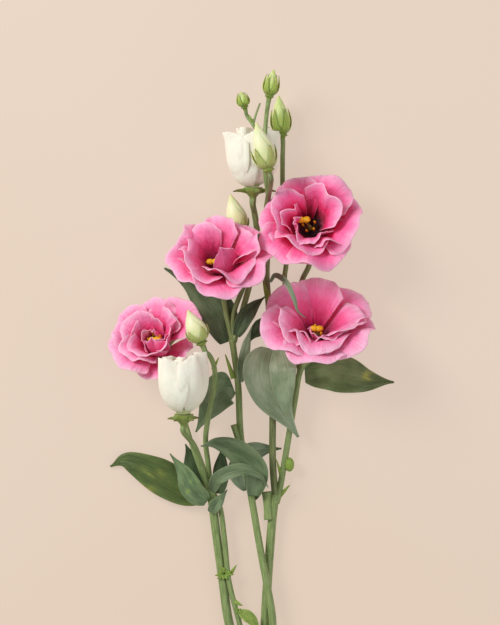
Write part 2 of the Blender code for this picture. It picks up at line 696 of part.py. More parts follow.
def bud_calyx(bud, collection, finish):
    """The calyx of a bud: a small cup and five sepals that hug the bud."""
    profile = ((0.0, 0.0), (bud.radius * 0.5, 0.0), (bud.stem_radius + 0.4, -2.2),
               (bud.stem_radius + 0.1, -BUD_CUP_LENGTH), (0.0, -BUD_CUP_LENGTH))
    cup = turned(bud.name + "_cup", profile, 6, collection)
    aim(cup, vector(bud.bottom), bud.axis)
    thick = min(1.1, bud.radius * 0.24)
    route = [(bud.radius * 0.2, -thick * 1.3)]
    for share in (0.25, 1.0):
        high = bud.sepal * share
        clear = GAP * 3 + thick * (1.1 - 0.5 * share) + bud.flare * share ** 2
        route.append((bud_radius(bud, (high - GAP) / bud.length) + clear, high))
    others = sepals(bud.name + "_sepal", bud.bottom, bud.axis, 0.3, route, thick, collection)
    return fuse(bud.name + "_calyx", cup, others, collection, finish)


def leaf_outline(along):
    """A leaf's width along its length: broad below the middle and drawn out to a point."""
    belly = math.sin(math.pi * (LEAF_FOOT + (1 - LEAF_FOOT) * along) ** LEAF_BELLY)
    sharpness = LEAF_ROUND + LEAF_POINT * along
    return LEAF_FOOT + (1 - LEAF_FOOT) * max(belly, 0.0) ** sharpness


def leaf_surface(leaf):
    """The function that places a leaf: oval, pointed, and folded along its midrib."""
    line = smooth(leaf.midrib, 8)

    def place(along, across):
        spot = along * (len(line) - 1)
        index = min(int(spot), len(line) - 2)
        here = line[index].lerp(line[index + 1], spot - index)
        ahead = (line[index + 1] - line[index]).normalized()
        lean = math.radians(leaf.lean + (leaf.lean_tip - leaf.lean) * along)
        flat = ahead.cross(Vector((0, 0, 1))).normalized()
        face = flat.cross(ahead)
        side = flat * math.cos(lean) + face * math.sin(lean)
        above = side.cross(ahead)
        half = leaf.width / 2 * leaf_outline(along)
        fold = math.radians(leaf.fold)
        rise = half * abs(across) * math.sin(fold)
        rise += leaf.wave * math.sin(LEAF_WAVES * math.pi * along) * across ** 2
        local = here + side * (half * across * math.cos(fold)) + above * rise
        return on_table(vector(local), LEAF_THICK)

    return place


def leaves(collection, finish):
    """Every leaf, as a thin blade of its own."""
    for leaf in LEAVES:
        made = blade(leaf.name, leaf.rows, leaf.columns, LEAF_THICK, leaf_surface(leaf),
                     collection)
        paint(made, finish)


def seats():
    """Where a stem ends under each bloom and bud, and a point on the way there."""
    places = {}
    for bloom in (*BLOOMS, *WHITE_BLOOMS):
        places[bloom.name] = (Vector(bloom.base), Vector(bloom.axis), CUP_LENGTH)
    for bud in BUDS:
        places[bud.name] = (Vector(bud.bottom), Vector(bud.axis), BUD_CUP_LENGTH)
    ends = {}
    for name, (base, axis, cup) in places.items():
        out = axis.normalized()
        ends[name] = (base - out * (cup + GAP + 3.5), base - out * (cup + GAP))
    return ends


def stems(collection, finish):
    """The branching stem with its cut stubs, small bracts and gall, in one body."""
    ends = seats()
    pieces = []
    for index, stem in enumerate(STEMS):
        points = [*stem.points, *ends.get(stem.head, ())]
        spans = 2 if len(points) == 3 else 1
        level = 2 if stem.start > 3 else 1
        pieces.append(tube(f"stem_{index}", smooth(points, spans), stem.start, stem.end,
                           level, collection))
    for index, (foot, tip, radius) in enumerate(SPURS):
        middle = Vector(foot).lerp(Vector(tip), 0.5)
        pieces.append(tube(f"spur_{index}", (foot, middle, tip), radius, 0.35, 0, collection))
    place = Matrix.Translation(vector(KNOB[0])) @ Matrix.Diagonal((*KNOB[1], 1.0))
    pieces.append(ball("knob", 8, 5, place, collection))
    return fuse("stems", pieces[0], pieces[1:], collection, finish)


def main():
    """Build the whole spray."""
    for old in list(bpy.data.objects):
        bpy.data.objects.remove(old)
    spray = bpy.data.collections.new("lisianthus")
    bpy.context.scene.collection.children.link(spray)
    pink = material("pink_petal", (0.85, 0.22, 0.42), 0.55)
    cream = material("cream_petal", (0.82, 0.8, 0.66), 0.55)
    bud_green = material("bud_green", (0.5, 0.6, 0.27), 0.5)
    green = material("calyx_green", (0.2, 0.3, 0.1), 0.5)
    leaf_green = material("leaf_green", (0.12, 0.2, 0.1), 0.5)
    stem_green = material("stem_green", (0.16, 0.22, 0.09), 0.5)
    yellow = material("stigma_yellow", (0.8, 0.55, 0.05), 0.5)
    for bloom in BLOOMS:
        corolla(bloom, 4, spray, pink)
        open_calyx(bloom, 84, 15, CUP_MOUTH, spray, green)
        pistil(bloom, spray, yellow)
    for bloom in WHITE_BLOOMS:
        corolla(bloom, 5, spray, cream)
        open_calyx(bloom, 80, WHITE_SEPALS[bloom.name], 6.4, spray, green)
    for bud in BUDS:
        bud_body(bud, spray, bud_green)
        bud_calyx(bud, spray, green)
    leaves(spray, leaf_green)
    stems(spray, stem_green)


main()
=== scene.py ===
"""Looks of a cut spray of lisianthus that lies on a pale table.

Every piece is a surface worked out on a grid and laid over the solid it replaces: petals,
sepals and leaves are thin closed blades, buds and stems are closed tubes. Lengths in the
tables are millimetres and angles are degrees; X runs to the spray's right, Y along it from
the cut end to the buds, and Z up from the table.
"""
import logging
import math
from dataclasses import dataclass, replace
from enum import Enum
from typing import Optional, Sequence

import bmesh
import bpy
import numpy as np
from mathutils import Matrix

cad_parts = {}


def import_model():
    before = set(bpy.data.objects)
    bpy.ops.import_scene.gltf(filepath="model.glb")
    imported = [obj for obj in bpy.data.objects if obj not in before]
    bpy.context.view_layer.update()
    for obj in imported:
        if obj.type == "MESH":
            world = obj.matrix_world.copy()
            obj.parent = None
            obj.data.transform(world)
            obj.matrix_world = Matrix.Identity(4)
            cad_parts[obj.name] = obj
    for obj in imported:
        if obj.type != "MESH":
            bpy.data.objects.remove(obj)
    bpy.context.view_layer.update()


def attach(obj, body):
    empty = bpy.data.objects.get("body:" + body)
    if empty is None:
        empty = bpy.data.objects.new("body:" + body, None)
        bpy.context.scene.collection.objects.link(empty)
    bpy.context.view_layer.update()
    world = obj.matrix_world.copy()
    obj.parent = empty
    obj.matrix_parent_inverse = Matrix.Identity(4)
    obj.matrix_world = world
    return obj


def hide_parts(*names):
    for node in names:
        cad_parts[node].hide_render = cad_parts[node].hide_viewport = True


LOG = logging.getLogger("lisianthus")
Array = np.ndarray
Point = Sequence[float]
Material = bpy.types.Material
NodeSocket = bpy.types.NodeSocket

MM = 0.001
GAP = 0.3                   # what touching pieces keep between them
CENTRE = np.array((1.1, 2.1, 0.0))      # the middle of the spray's box, put at the origin
UP = np.array((0.0, 0.0, 1.0))
WELD = 1e-7                 # metres: joins the double points of seams and poles
TURN = 2 * math.pi

# A petal's shape, as in the solids.
ROOT_RADIUS = 1.6
ROOT_HEIGHT = 3.6
ROOT_SHIFT = 1.8
ROUNDING = 0.2
CORNER = 2.4
RIM_WAVES = 1.6
FULL_AT = 0.6
ROOT_TWIST = 0.35
ROOT_SPAN = 0.62
CORE_HEIGHT = 7.0

# Calyx, pistil and bud, as in the solids.
CUP_LENGTH = 8.0
CUP_MOUTH = 4.2
CORE = ((0, CORE_HEIGHT), (5.12, CORE_HEIGHT), (6.4, 4.0), (CUP_MOUTH, GAP), (0, GAP))
BUD_CUP_LENGTH = 3.0
SEPALS = 5
SEPAL_TIP = 0.25
SPIKE_FLAT = 0.55           # height of an open sepal's section over its width
BRACT_FLAT = 0.6            # the same of a bract's
STYLE_RADIUS = 0.6
THREAD_RADIUS = 0.28
THREAD_LENGTH = 6.5
LOBE_SIZE = (2.7, 2.2, 1.7)
ANTHER_SIZE = (0.9, 0.8, 1.7)
STEM_IN_CUP = 0.4           # the looks close the joint that the solids leave open
BUD_BELLY = 0.62
BUD_ROUND = 0.9
BUD_TWIST = 5.75            # how far its rolled petals wind round it, in radians

# A leaf's outline, as in the solids.
LEAF_FOOT = 0.05
LEAF_BELLY = 0.74
LEAF_ROUND = 0.8
LEAF_POINT = 0.7
LEAF_WAVES = 2.2

# Points along and across each kind of blade, points from end to end and round each kind
# of closed form, and the thickness of blades.
PETAL_GRID = (42, 41)
LEAF_GRID = (72, 33)
SEPAL_GRID = (32, 15)
BUD_GRID = (60, 84)
LOBE_GRID = (17, 24)
KNOB_GRID = (25, 36)
ROD_POINTS = 12
SPIKE_POINTS = 28
BRACT_POINTS = 24
CUP_SIDES = 40
CORE_SIDES = 32
STEM_SIDES = 20
OVARY_SIDES = 20
SPIKE_SIDES = 14
STYLE_SIDES = 12
THREAD_SIDES = 8
PETAL_THICK = 0.55
LEAF_THICK = 0.6
STREAK_LENGTH = 60.0        # length of stem that counts as 1 for its streaks


class Slot(Enum):
    """The material slots of the record."""

    PINK = "pink_petal"
    WHITE = "white_petal"
    BUD = "bud"
    CALYX = "calyx"
    LEAF = "leaf"
    STEM = "stem"
    STIGMA = "stigma"


def linear(colour: Point) -> tuple[float, float, float, float]:
    """Turn a screen colour into the linear one of a shader, ((c + 0.055) / 1.055)^2.4.

    Args:
        colour: red, green and blue from 0 to 255.

    Returns:
        Linear red, green and blue, and an alpha of one.
    """
    values = (np.asarray(colour, float) / 255 + 0.055) / 1.055
    red, green, blue = np.clip(values, 0, None) ** 2.4
    return float(red), float(green), float(blue), 1.0


def unit(vectors: Array) -> Array:
    """Each vector divided by its length."""
    lengths = np.linalg.norm(vectors, axis=-1, keepdims=True)
    return vectors / np.maximum(lengths, 1e-12)


def smoothstep(low: float, high: float, value: Array) -> Array:
    """The smooth step 3t^2 - 2t^3 of a value between low and high."""
    share = np.clip((value - low) / (high - low), 0, 1)
    return share * share * (3 - 2 * share)


def grid(size: tuple[int, int]) -> tuple[Array, Array]:
    """Shares from 0 to 1 along a grid, as a column, and -1 to 1 across it, as a row."""
    return np.linspace(0, 1, size[0])[:, None], np.linspace(-1, 1, size[1])[None, :]


def swings(start: float, count: int = SEPALS) -> Array:
    """Angles spread evenly round a full turn."""
    return start + TURN * np.arange(count) / count


def frame_of(axis: Point) -> tuple[Array, Array, Array]:
    """Directions of a flower, each square to the two others.

    Args:
        axis: the direction that it faces.

    Returns:
        Its right, its way up the spray and its outward direction.
    """
    out = unit(np.asarray(axis, float))
    right = unit(np.array((1.0, 0.0, 0.0)) - out * out[0])
    return right, np.cross(out, right), out


def placed(base: Point, axis: Point, far: Array, swing: Array, high: Array) -> Array:
    """Points at a distance from an axis, an angle round it and a height along it.

    Args:
        base: where the height is zero.
        axis: the direction of the height.
        far: the distance, which broadcasts with the two others.
        swing: the angle, 0 to the right and a quarter turn up the spray.
        high: the height.

    Returns:
        The base + far (right cos swing + up sin swing) + high out.
    """
    right, up, out = frame_of(axis)
    far, swing, high = (value[..., None] for value in np.broadcast_arrays(far, swing, high))
    return np.asarray(base) + far * (right * np.cos(swing) + up * np.sin(swing)) + high * out


def curve_through(points: Sequence[Point], share: Array) -> Array:
    """Places on the smooth curve through some points.

    The curve is a Catmull-Rom spline. Between two points p1 and p2, with p0 before and p3
    after them, it is half of 2 p1 + (p2 - p0) t + (2 p0 - 5 p1 + 4 p2 - p3) t^2
    + (3 p1 - p0 - 3 p2 + p3) t^3.

    Args:
        points: the points that it passes through.
        share: places from 0 at the first point to 1 at the last.

    Returns:
        One point for each share.
    """
    knots = np.asarray(points, float)
    knots = np.vstack((2 * knots[0] - knots[1], knots, 2 * knots[-1] - knots[-2]))
    spans = len(knots) - 3
    spot = np.clip(share, 0, 1) * spans
    index = np.minimum(spot.astype(int), spans - 1)
    t = (spot - index)[..., None]
    before, here, there, after = (knots[index + step] for step in range(4))
    return 0.5 * (2 * here + (there - before) * t
                  + (2 * before - 5 * here + 4 * there - after) * t ** 2
                  + (3 * here - before - 3 * there + after) * t ** 3)


def line_lengths(path: Array) -> Array:
    """How far along a path each of its points lies."""
    return np.cumsum(np.linalg.norm(np.diff(path, axis=0, prepend=path[:1]), axis=1))


def grid_faces(rows: int, columns: int, wrapped: bool) -> Array:
    """The cells of a grid of points.

    Args:
        rows: points along the grid.
        columns: points across it.
        wrapped: whether the last column joins the first.

    Returns:
        The four corners of each cell.
    """
    index = np.arange(rows * columns).reshape(rows, columns)
    if wrapped:
        index = np.hstack((index, index[:, :1]))
    return np.stack((index[:-1, :-1], index[:-1, 1:], index[1:, 1:], index[1:, :-1]),
                    axis=-1).reshape(-1, 4)


@dataclass
class Surface:
    """A closed surface with what its material reads at each point.

    form holds the place across and along the piece, rim is 1 on a blade's edge, and back
    is 1 on its outer side. tone is a number that is the same all over one blade.
    """

    points: Array
    faces: Array
    form: Array
    rim: Array
    back: Array
    tone: Array

    @classmethod
    def join(cls, parts: Sequence["Surface"]) -> "Surface":
        """One surface that holds all the given ones.

        Args:
            parts: the surfaces.

        Returns:
            A surface with their points, faces and numbers in order.
        """
        shifts = np.cumsum([0] + [len(part.points) for part in parts[:-1]])
        faces = np.vstack([part.faces + shift for part, shift in zip(parts, shifts)])
        points, form, rim, back, tone = (
            np.concatenate([getattr(part, label) for part in parts])
            for label in ("points", "form", "rim", "back", "tone"))
        return cls(points, faces, form, rim, back, tone)


def shell(points: Array, along: Array, tone: float = 0.0, rim: Array = 0.0) -> Surface:
    """A closed surface from rings of points, of which the end ones have no size.

    Its faces are turned outwards: the sum over them of p0 . ((p1 x p2) + (p2 x p3)) about
    the middle has the sign of the volume, and they are turned round where it is negative.

    Args:
        points: rows of rings, by the points of a ring, by three.
        along: place along the piece of each ring, as a column.
        tone: a number kept for the whole shell.
        rim: the number kept as rim, which broadcasts over the rings.

    Returns:
        The closed surface.
    """
    rows, sides = points.shape[:2]
    form = np.stack(np.broadcast_arrays(swings(0.0, sides) / TURN, along), axis=-1)
    flat, faces = points.reshape(-1, 3), grid_faces(rows, sides, True)
    corners = flat[faces] - flat.mean(axis=0)
    turns = np.cross(corners[:, 1], corners[:, 2]) + np.cross(corners[:, 2], corners[:, 3])
    if np.einsum("ij,ij->", corners[:, 0], turns) < 0:
        faces = faces[:, ::-1]
    count = rows * sides
    return Surface(flat, faces, form.reshape(-1, 2),
                   np.broadcast_to(rim, (rows, sides)).reshape(-1), np.zeros(count),
                   np.full(count, tone))


def blade(middle: Array, thick: Array, across: Array, along: Array, rim: Array = 0.0,
          tone: float = 0.0, outer: float = 0.0) -> Surface:
    """A thin closed blade round a middle surface that is kept over the table.

    Both sides are the middle surface moved by half the thickness along its normal, which
    is the cross product of its two derivatives, and the two sides are joined at the edge.

    Args:
        middle: points of the middle surface, rows by columns by three.
        thick: thickness at each of them.
        across: place across the blade, from -1 to 1, as a row.
        along: place along it, from 0 to 1, as a column.
        rim: 1 at the edge and 0 well inside it.
        tone: a number kept for the whole blade.
        outer: 1 where the side that the normal points to is the blade's outer one.

    Returns:
        The closed blade.
    """
    rows, columns = middle.shape[:2]
    middle[..., 2] = np.maximum(middle[..., 2], thick / 2)
    normal = unit(np.cross(np.gradient(middle, axis=1), np.gradient(middle, axis=0)))
    shift = normal * thick[..., None] / 2
    count = rows * columns
    front = grid_faces(rows, columns, False)
    index = np.arange(count).reshape(rows, columns)
    edge = np.concatenate((index[0, :], index[1:, -1], index[-1, -2::-1], index[-2:0:-1, 0]))
    after = np.roll(edge, -1)
    border = np.stack((edge, edge + count, after + count, after), axis=-1)
    form = np.stack(np.broadcast_arrays(across / 2 + 0.5, along), axis=-1).reshape(-1, 2)
    return Surface(
        np.vstack(((middle + shift).reshape(-1, 3), (middle - shift).reshape(-1, 3))),
        np.vstack((front, front[:, ::-1] + count, border)), np.vstack((form, form)),
        np.tile(np.broadcast_to(rim, (rows, columns)).reshape(-1), 2),
        np.repeat((outer, 1 - outer), count), np.full(2 * count, tone))


def tube(path: Array, across: Array, through: Array, sides: int, tone: float = 0.0,
         ridge: float = 0.0, cap: float = 0.0, reach: float = 1.0) -> Surface:
    """A closed tube of oval section along a path.

    A ring's point at angle a is the path's point plus side * across * cos a
    plus top * through * sin a, where side lies level and square to the path.

    Args:
        path: points along the middle.
        across: half width at each of them.
        through: half height at each of them.
        sides: points round a ring.
        tone: a number kept for the whole tube.
        ridge: depth of the five ridges that run along it, as a share of its radius.
        cap: the number kept as rim at its ends.
        reach: the place along it that its far end counts as.

    Returns:
        The closed tube, with a ring of no size at each end.
    """
    path = np.vstack((path[:1], path, path[-1:]))
    across, through = np.pad(across, 1)[:, None], np.pad(through, 1)[:, None]
    ahead = unit(np.gradient(path, axis=0))
    ahead[0], ahead[-1] = ahead[1], ahead[-2]
    side = unit(np.cross(ahead, UP))
    top = np.cross(side, ahead)
    angle = swings(0.0, sides)
    groove = 1 + ridge * np.cos(5 * angle)
    ring = (side[:, None] * (across * np.cos(angle) * groove)[..., None]
            + top[:, None] * (through * np.sin(angle) * groove)[..., None])
    gone = line_lengths(path)[:, None]
    rim = np.zeros_like(gone)
    rim[[0, -1]] = cap
    return shell(path[:, None] + ring, reach * gone / gone[-1], tone, rim)


def turned(profile: Sequence[Point], sides: int, base: Point, axis: Point,
           flute: float = 0.0, reach: float = 1.0) -> Surface:
    """A closed turned form: a profile of radius and height carried round an axis.

    Args:
        profile: pairs of radius and height; the first and the last lie on the axis.
        sides: points round a ring.
        base: where the profile's height is zero.
        axis: the direction of its height.
        flute: depth of five shallow flutes, as a share of the radius.
        reach: the place along it that its far end counts as.

    Returns:
        The closed form.
    """
    spans = len(profile) - 1
    share = np.linspace(0, 1, 8 * spans + 1)[:, None]
    radius, high = (np.interp(share * spans, np.arange(spans + 1), column)
                    for column in np.asarray(profile, float).T)
    angle = swings(0.0, sides)
    radius = radius * (1 + flute * np.cos(5 * angle))
    return shell(placed(base, axis, radius, angle, high), share * reach)


def rod(start: Array, end: Array, radius: float, sides: int) -> Surface:
    """A straight closed rod from start to end."""
    share, radii = np.linspace(0, 1, ROD_POINTS), np.full(ROD_POINTS, radius)
    return tube(start + (end - start) * share[:, None], radii, radii, sides)


def ball(place: Point, axis: Point, size: Point, points: tuple[int, int],
         lumps: float = 0.0, seed: float = 0.0) -> Surface:
    """A ball stretched along three axes, with low waves round it for lumps.

    At the angle p from its pole and the angle a round it, a point lies at sin p cos a and
    sin p sin a, both times 1 + lumps (0.07 sin(3 a + seed) sin 4 p
    + 0.04 sin(5 a - 2 seed)), and at cos p along the axis.

    Args:
        place: its middle.
        axis: the direction of its pole.
        size: half its width to the right, half its width up and half its length.
        points: points from pole to pole and round it.
        lumps: height of the lumps.
        seed: where the lumps begin.

    Returns:
        The closed ball.
    """
    polar, angle = np.linspace(0, math.pi, points[0])[:, None], swings(0.0, points[1])
    lump = 1 + lumps * (0.07 * np.sin(3 * angle + seed) * np.sin(4 * polar)
                        + 0.04 * np.sin(5 * angle - 2 * seed))
    local = np.stack(np.broadcast_arrays(
        np.sin(polar) * np.cos(angle) * lump, np.sin(polar) * np.sin(angle) * lump,
        np.cos(polar)), axis=-1)
    return shell(np.asarray(place) + (local * np.asarray(size)) @ np.stack(frame_of(axis)),
                 polar / math.pi)


def piece(name: str, parts: Sequence[Surface], finish: Material, slot: Slot,
          *nodes: str) -> None:
    """Make some closed surfaces one object of the spray that stands for some solids.

    Args:
        name: the piece's name.
        parts: its surfaces, in millimetres from the spray's layout.
        finish: its material.
        slot: the record's material slot; not used.
        nodes: the solids that it stands for.
    """
    surface = Surface.join(parts)
    mesh = bpy.data.meshes.new(name)
    points = (surface.points - CENTRE) * MM
    faces = surface.faces.astype(np.int32)
    mesh.vertices.add(len(points))
    mesh.vertices.foreach_set("co", points.astype(np.float32).ravel())
    mesh.loops.add(faces.size)
    mesh.loops.foreach_set("vertex_index", faces.ravel())
    mesh.polygons.add(len(faces))
    mesh.polygons.foreach_set("loop_start", np.arange(0, faces.size, 4, dtype=np.int32))
    mesh.update(calc_edges=True)
    layer = mesh.uv_layers.new(name="form")
    layer.data.foreach_set("uv", surface.form[faces.ravel()].astype(np.float32).ravel())
    for label in ("rim", "back", "tone"):
        values = mesh.attributes.new(label, "FLOAT", "POINT")
        values.data.foreach_set("value", getattr(surface, label).astype(np.float32))
    shape = bmesh.new()
    shape.from_mesh(mesh)
    bmesh.ops.remove_doubles(shape, verts=shape.verts[:], dist=WELD)
    shape.to_mesh(mesh)
    shape.free()
    mesh.polygons.foreach_set("use_smooth", np.ones(len(mesh.polygons), bool))
    mesh.materials.append(finish)
    made = bpy.data.objects.new(name, mesh)
    bpy.context.scene.collection.objects.link(made)
    if nodes:
        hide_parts(*nodes)
    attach(made, "root")
    LOG.info("%s: %d faces", name, len(mesh.polygons))


class Value:
    """A number or colour that shader nodes work out; it takes the signs of arithmetic."""

    def __init__(self, shader: "Shader", socket: NodeSocket) -> None:
        """Keep the socket that gives the value, and the shader it belongs to."""
        self.shader, self.socket = shader, socket

    def __add__(self, other: object) -> "Value":
        """The sum of two values."""
        return self.shader.math("ADD", self, other)

    def __sub__(self, other: object) -> "Value":
        """The difference of two values."""
        return self.shader.math("SUBTRACT", self, other)

    def __rsub__(self, other: float) -> "Value":
        """A plain number less the value."""
        return self.shader.math("SUBTRACT", other, self)

    def __mul__(self, other: object) -> "Value":
        """The product of two values."""
        return self.shader.math("MULTIPLY", self, other)

    def __abs__(self) -> "Value":
        """The value without its sign."""
        return self.shader.math("ABSOLUTE", self)

    def ease(self, low: float, high: float, start: float = 0.0, end: float = 1.0) -> "Value":
        """A smooth step of the value.

        Args:
            low: the value that the step starts at.
            high: the value that it ends at.
            start: the result at low.
            end: the result at high.

        Returns:
            The result, which stays at start and end outside the step.
        """
        return Value(self.shader, self.shader.node("MapRange", {
            "Value": self, "From Min": low, "From Max": high, "To Min": start, "To Max": end,
        }, interpolation_type="SMOOTHSTEP").outputs["Result"])


class Shader:
    """A material with one Principled shader, and short ways to add nodes to it."""

    def __init__(self, name: str, roughness: float, **settings: object) -> None:
        """Start a material.

        Args:
            name: the material's name.
            roughness: the shader's roughness.
            settings: more of the shader's sockets, with _ for each blank.
        """
        self.material = bpy.data.materials.new(name)
        self.material.use_nodes = True
        self.tree = self.material.node_tree
        self.sockets = self.tree.nodes["Principled BSDF"].inputs
        for label, value in {"Roughness": roughness, **settings}.items():
            self.put(self.sockets[label.replace("_", " ")], value)

    def put(self, socket: NodeSocket, value: object) -> None:
        """Link a socket to a value of the nodes, or set it to a plain one.

        Args:
            socket: the input of a node.
            value: what it takes.
        """
        if isinstance(value, Value):
            self.tree.links.new(value.socket, socket)
        else:
            socket.default_value = value

    def node(self, kind: str, inputs: Optional[dict] = None,
             **settings: object) -> bpy.types.Node:
        """Add a node.

        Args:
            kind: the node's type, without its ShaderNode prefix.
            inputs: what some of its inputs are put to.
            settings: properties of the node.

        Returns:
            The node.
        """
        made = self.tree.nodes.new("ShaderNode" + kind)
        for label, value in settings.items():
            setattr(made, label, value)
        for label, value in (inputs or {}).items():
            self.put(made.inputs[label], value)
        return made

    def math(self, operation: str, *values: object) -> Value:
        """The result of a Math node on one or two values."""
        made = self.node("Math", dict(enumerate(values)), operation=operation)
        return Value(self, made.outputs[0])

    def read(self, label: str) -> Value:
        """One of the numbers that a surface keeps at its points."""
        return Value(self, self.node("Attribute", attribute_name=label).outputs["Fac"])

    def form(self) -> tuple[Value, Value]:
        """The place across and along the piece."""
        place = Value(self, self.node("UVMap", uv_map="form").outputs[0])
        split = self.node("SeparateXYZ", {"Vector": place}).outputs
        return Value(self, split["X"]), Value(self, split["Y"])

    def ring(self, across: Value, wide: float) -> tuple[Value, Value]:
        """The place round a ring, so that a pattern on it has no seam."""
        angle = across * TURN
        return self.math("COSINE", angle) * wide, self.math("SINE", angle) * wide

    def noise(self, where: Optional[tuple], scale: float, detail: float = 3.0) -> Value:
        """A noise between 0 and 1 about 0.5.

        Args:
            where: three values that it is read at, or None for the place in the object.
            scale: how often it changes.
            detail: how many finer noises are added.

        Returns:
            The noise.
        """
        if where is None:
            place = Value(self, self.node("TexCoord").outputs["Object"])
        else:
            place = Value(self, self.node("CombineXYZ", dict(zip("XYZ", where))).outputs[0])
        return Value(self, self.node("TexNoise", {
            "Vector": place, "Scale": scale, "Detail": detail, "Roughness": 0.55,
        }).outputs["Fac"])

    def mix(self, share: object, first: object, second: object) -> Value:
        """Two colours mixed.

        Args:
            share: how much of the second there is.
            first: a colour of 0 to 255, or one that the nodes work out.
            second: the same.

        Returns:
            The mixed colour.
        """
        made = self.node("Mix", data_type="RGBA", blend_type="MIX")
        for index, value in ((0, share), (6, first), (7, second)):
            self.put(made.inputs[index], linear(value) if isinstance(value, tuple) else value)
        return Value(self, made.outputs[2])

    def ramp(self, value: Value, stops: Sequence[tuple[float, Point]]) -> Value:
        """A row of colours along a value from 0 to 1.

        Args:
            value: the value.
            stops: places along it and the colours there.

        Returns:
            The colour, eased from each stop to the next.
        """
        made = self.node("ValToRGB", {"Fac": value})
        band = made.color_ramp
        band.interpolation = "EASE"
        while len(band.elements) < len(stops):
            band.elements.new(0.5)
        for element, (place, colour) in zip(band.elements, stops):
            element.position = place
            element.color = linear(colour)
        return Value(self, made.outputs["Color"])

    def dress(self, colour: Value, height: Optional[Value] = None,
              depth: float = 0.0003) -> Material:
        """Give the shader its colour and, from a height of 0 to 1, its fine relief.

        Args:
            colour: the base colour.
            height: the relief.
            depth: metres between a height of 0 and of 1.

        Returns:
            The finished material.
        """
        self.put(self.sockets["Base Color"], colour)
        if height is not None:
            bump = self.node("Bump", {"Strength": 1.0, "Distance": depth, "Height": height})
            self.put(self.sockets["Normal"], Value(self, bump.outputs["Normal"]))
        return self.material


@dataclass(frozen=True)
class PetalFinish:
    """Colours of a petal from its throat to its rim, and of its veins and outer side; the
    darkest throat colours are partly painted shade and the pale rim is a painted highlight.
    """

    name: str
    stops: tuple            # share of the length and colour, from root to rim; the dark root end is partly painted shade
    vein: Point
    outer: Point
    # pale rim colour: a painted highlight on the thin rims, also laid in faint clouds over the
    # petal
    rim: Point
    vein_share: float
    flare: float            # how far the throat's colour runs up the petal in rays
    relief: float = 0.0009  # depth of the creases and veins, in metres
    outer_share: float = 0.6
    dusk: Point = (186, 84, 132)    # dusky mauve of whole petals: partly their outer colour, partly painted shade

    def material(self) -> Material:
        """Colour by length, with rays from the throat, fine veins and a painted highlight on
        the rim.

        A noise stretched along the petal shifts where each colour begins, so the throat's
        colour ends in rays, and a finer one draws the veins. The darkest colours at the root
        are partly the throat's crimson and partly painted shade deep in the cup.

        Returns:
            The finished material.
        """
        made = Shader(self.name, 0.52, Subsurface_Weight=0.22, Subsurface_Scale=0.004,
                      Subsurface_Radius=(1.0, 0.45, 0.5), Sheen_Weight=0.08,
                      Sheen_Roughness=0.4, Specular_IOR_Level=0.3)
        across, along = made.form()
        tone = made.read("tone")
        shift = tone * 37.0
        rays = made.noise((across * 13.0, along, shift), 1.0)
        veins = made.noise((across * 52.0, along * 2.2, shift), 1.0, 2.0)
        creases = made.noise((across * 9.0, along * 7.0, shift), 1.0)
        cloud = made.noise(None, 95.0)
        vein = veins.ease(0.52, 0.72) * along.ease(1.0, 0.35, 0.25, self.vein_share)
        # colour by length; its dark root end is partly painted shade deep in the cup
        colour = made.ramp(along + (0.5 - rays) * self.flare, self.stops)
        colour = made.mix(vein * 0.8, colour, self.vein)
        outer = made.mix(vein * 0.5, self.outer, self.vein)
        colour = made.mix(made.read("back") * self.outer_share, colour, outer)
        # dusky mauve over whole petals: partly their outer colour, partly painted shade
        colour = made.mix(tone.ease(1.0, 1.1, 0.0, 0.7), colour, self.dusk)
        # painted highlight along the thin rims
        colour = made.mix(made.read("rim").ease(0.45, 1.0) * 0.75, colour, self.rim)
        colour = made.mix(cloud.ease(0.3, 0.75, 0.0, 0.1), colour, self.rim)
        return made.dress(colour, veins * 0.4 + cloud * 0.7 + creases * 1.4, self.relief)


@dataclass(frozen=True)
class LeafFinish:
    """Colours of a leaf's blade, veins and edge, and of a patch across it."""

    name: str
    light: Point
    dark: Point
    vein: Point
    patch: Point = (150, 170, 60)
    patch_share: float = 0.0
    patch_place: float = 0.4

    def material(self) -> Material:
        """A waxy green blade with a pale midrib and bow-shaped long veins.

        The veins lie where the distance across, from 0 at the midrib to 1 at the edge,
        is near 0, 0.36 or 0.68, so they run together at both ends of the leaf.

        Returns:
            The finished material.
        """
        made = Shader(self.name, 0.46, Specular_IOR_Level=0.4, Subsurface_Weight=0.08,
                      Subsurface_Scale=0.002, Sheen_Weight=0.15)
        across, along = made.form()
        shift = made.read("tone") * 41.0
        cloud = made.noise((across * 2.5, along * 3.0, shift), 1.2, 4.0)
        net = made.noise((across * 26.0, along * 16.0, shift), 1.0, 2.0)
        grain = made.noise(None, 900.0, 2.0)
        off = abs(across * 2.0 - 1.0)
        bent = off + (cloud - 0.5) * 0.05
        lines = off.ease(0.0, 0.055, 1.0, 0.0)
        for place, strength in ((0.36, 0.5), (0.68, 0.4)):
            near = abs(bent - place).ease(0.0, 0.035, strength, 0.0)
            lines = made.math("MAXIMUM", lines, near)
        patch = cloud.ease(0.52, 0.66) * abs(along - self.patch_place).ease(0.11, 0.03)
        colour = made.mix(cloud.ease(0.3, 0.7), self.dark, self.light)
        colour = made.mix(net.ease(0.5, 0.8, 0.0, 0.3), colour, self.light)
        colour = made.mix(lines * 0.4, colour, self.vein)
        colour = made.mix(patch * self.patch_share, colour, self.patch)
        colour = made.mix(made.read("rim").ease(0.6, 1.0, 0.0, 0.45), colour, self.vein)
        return made.dress(colour, net * 0.7 + grain * 0.25 - lines, 0.0004)


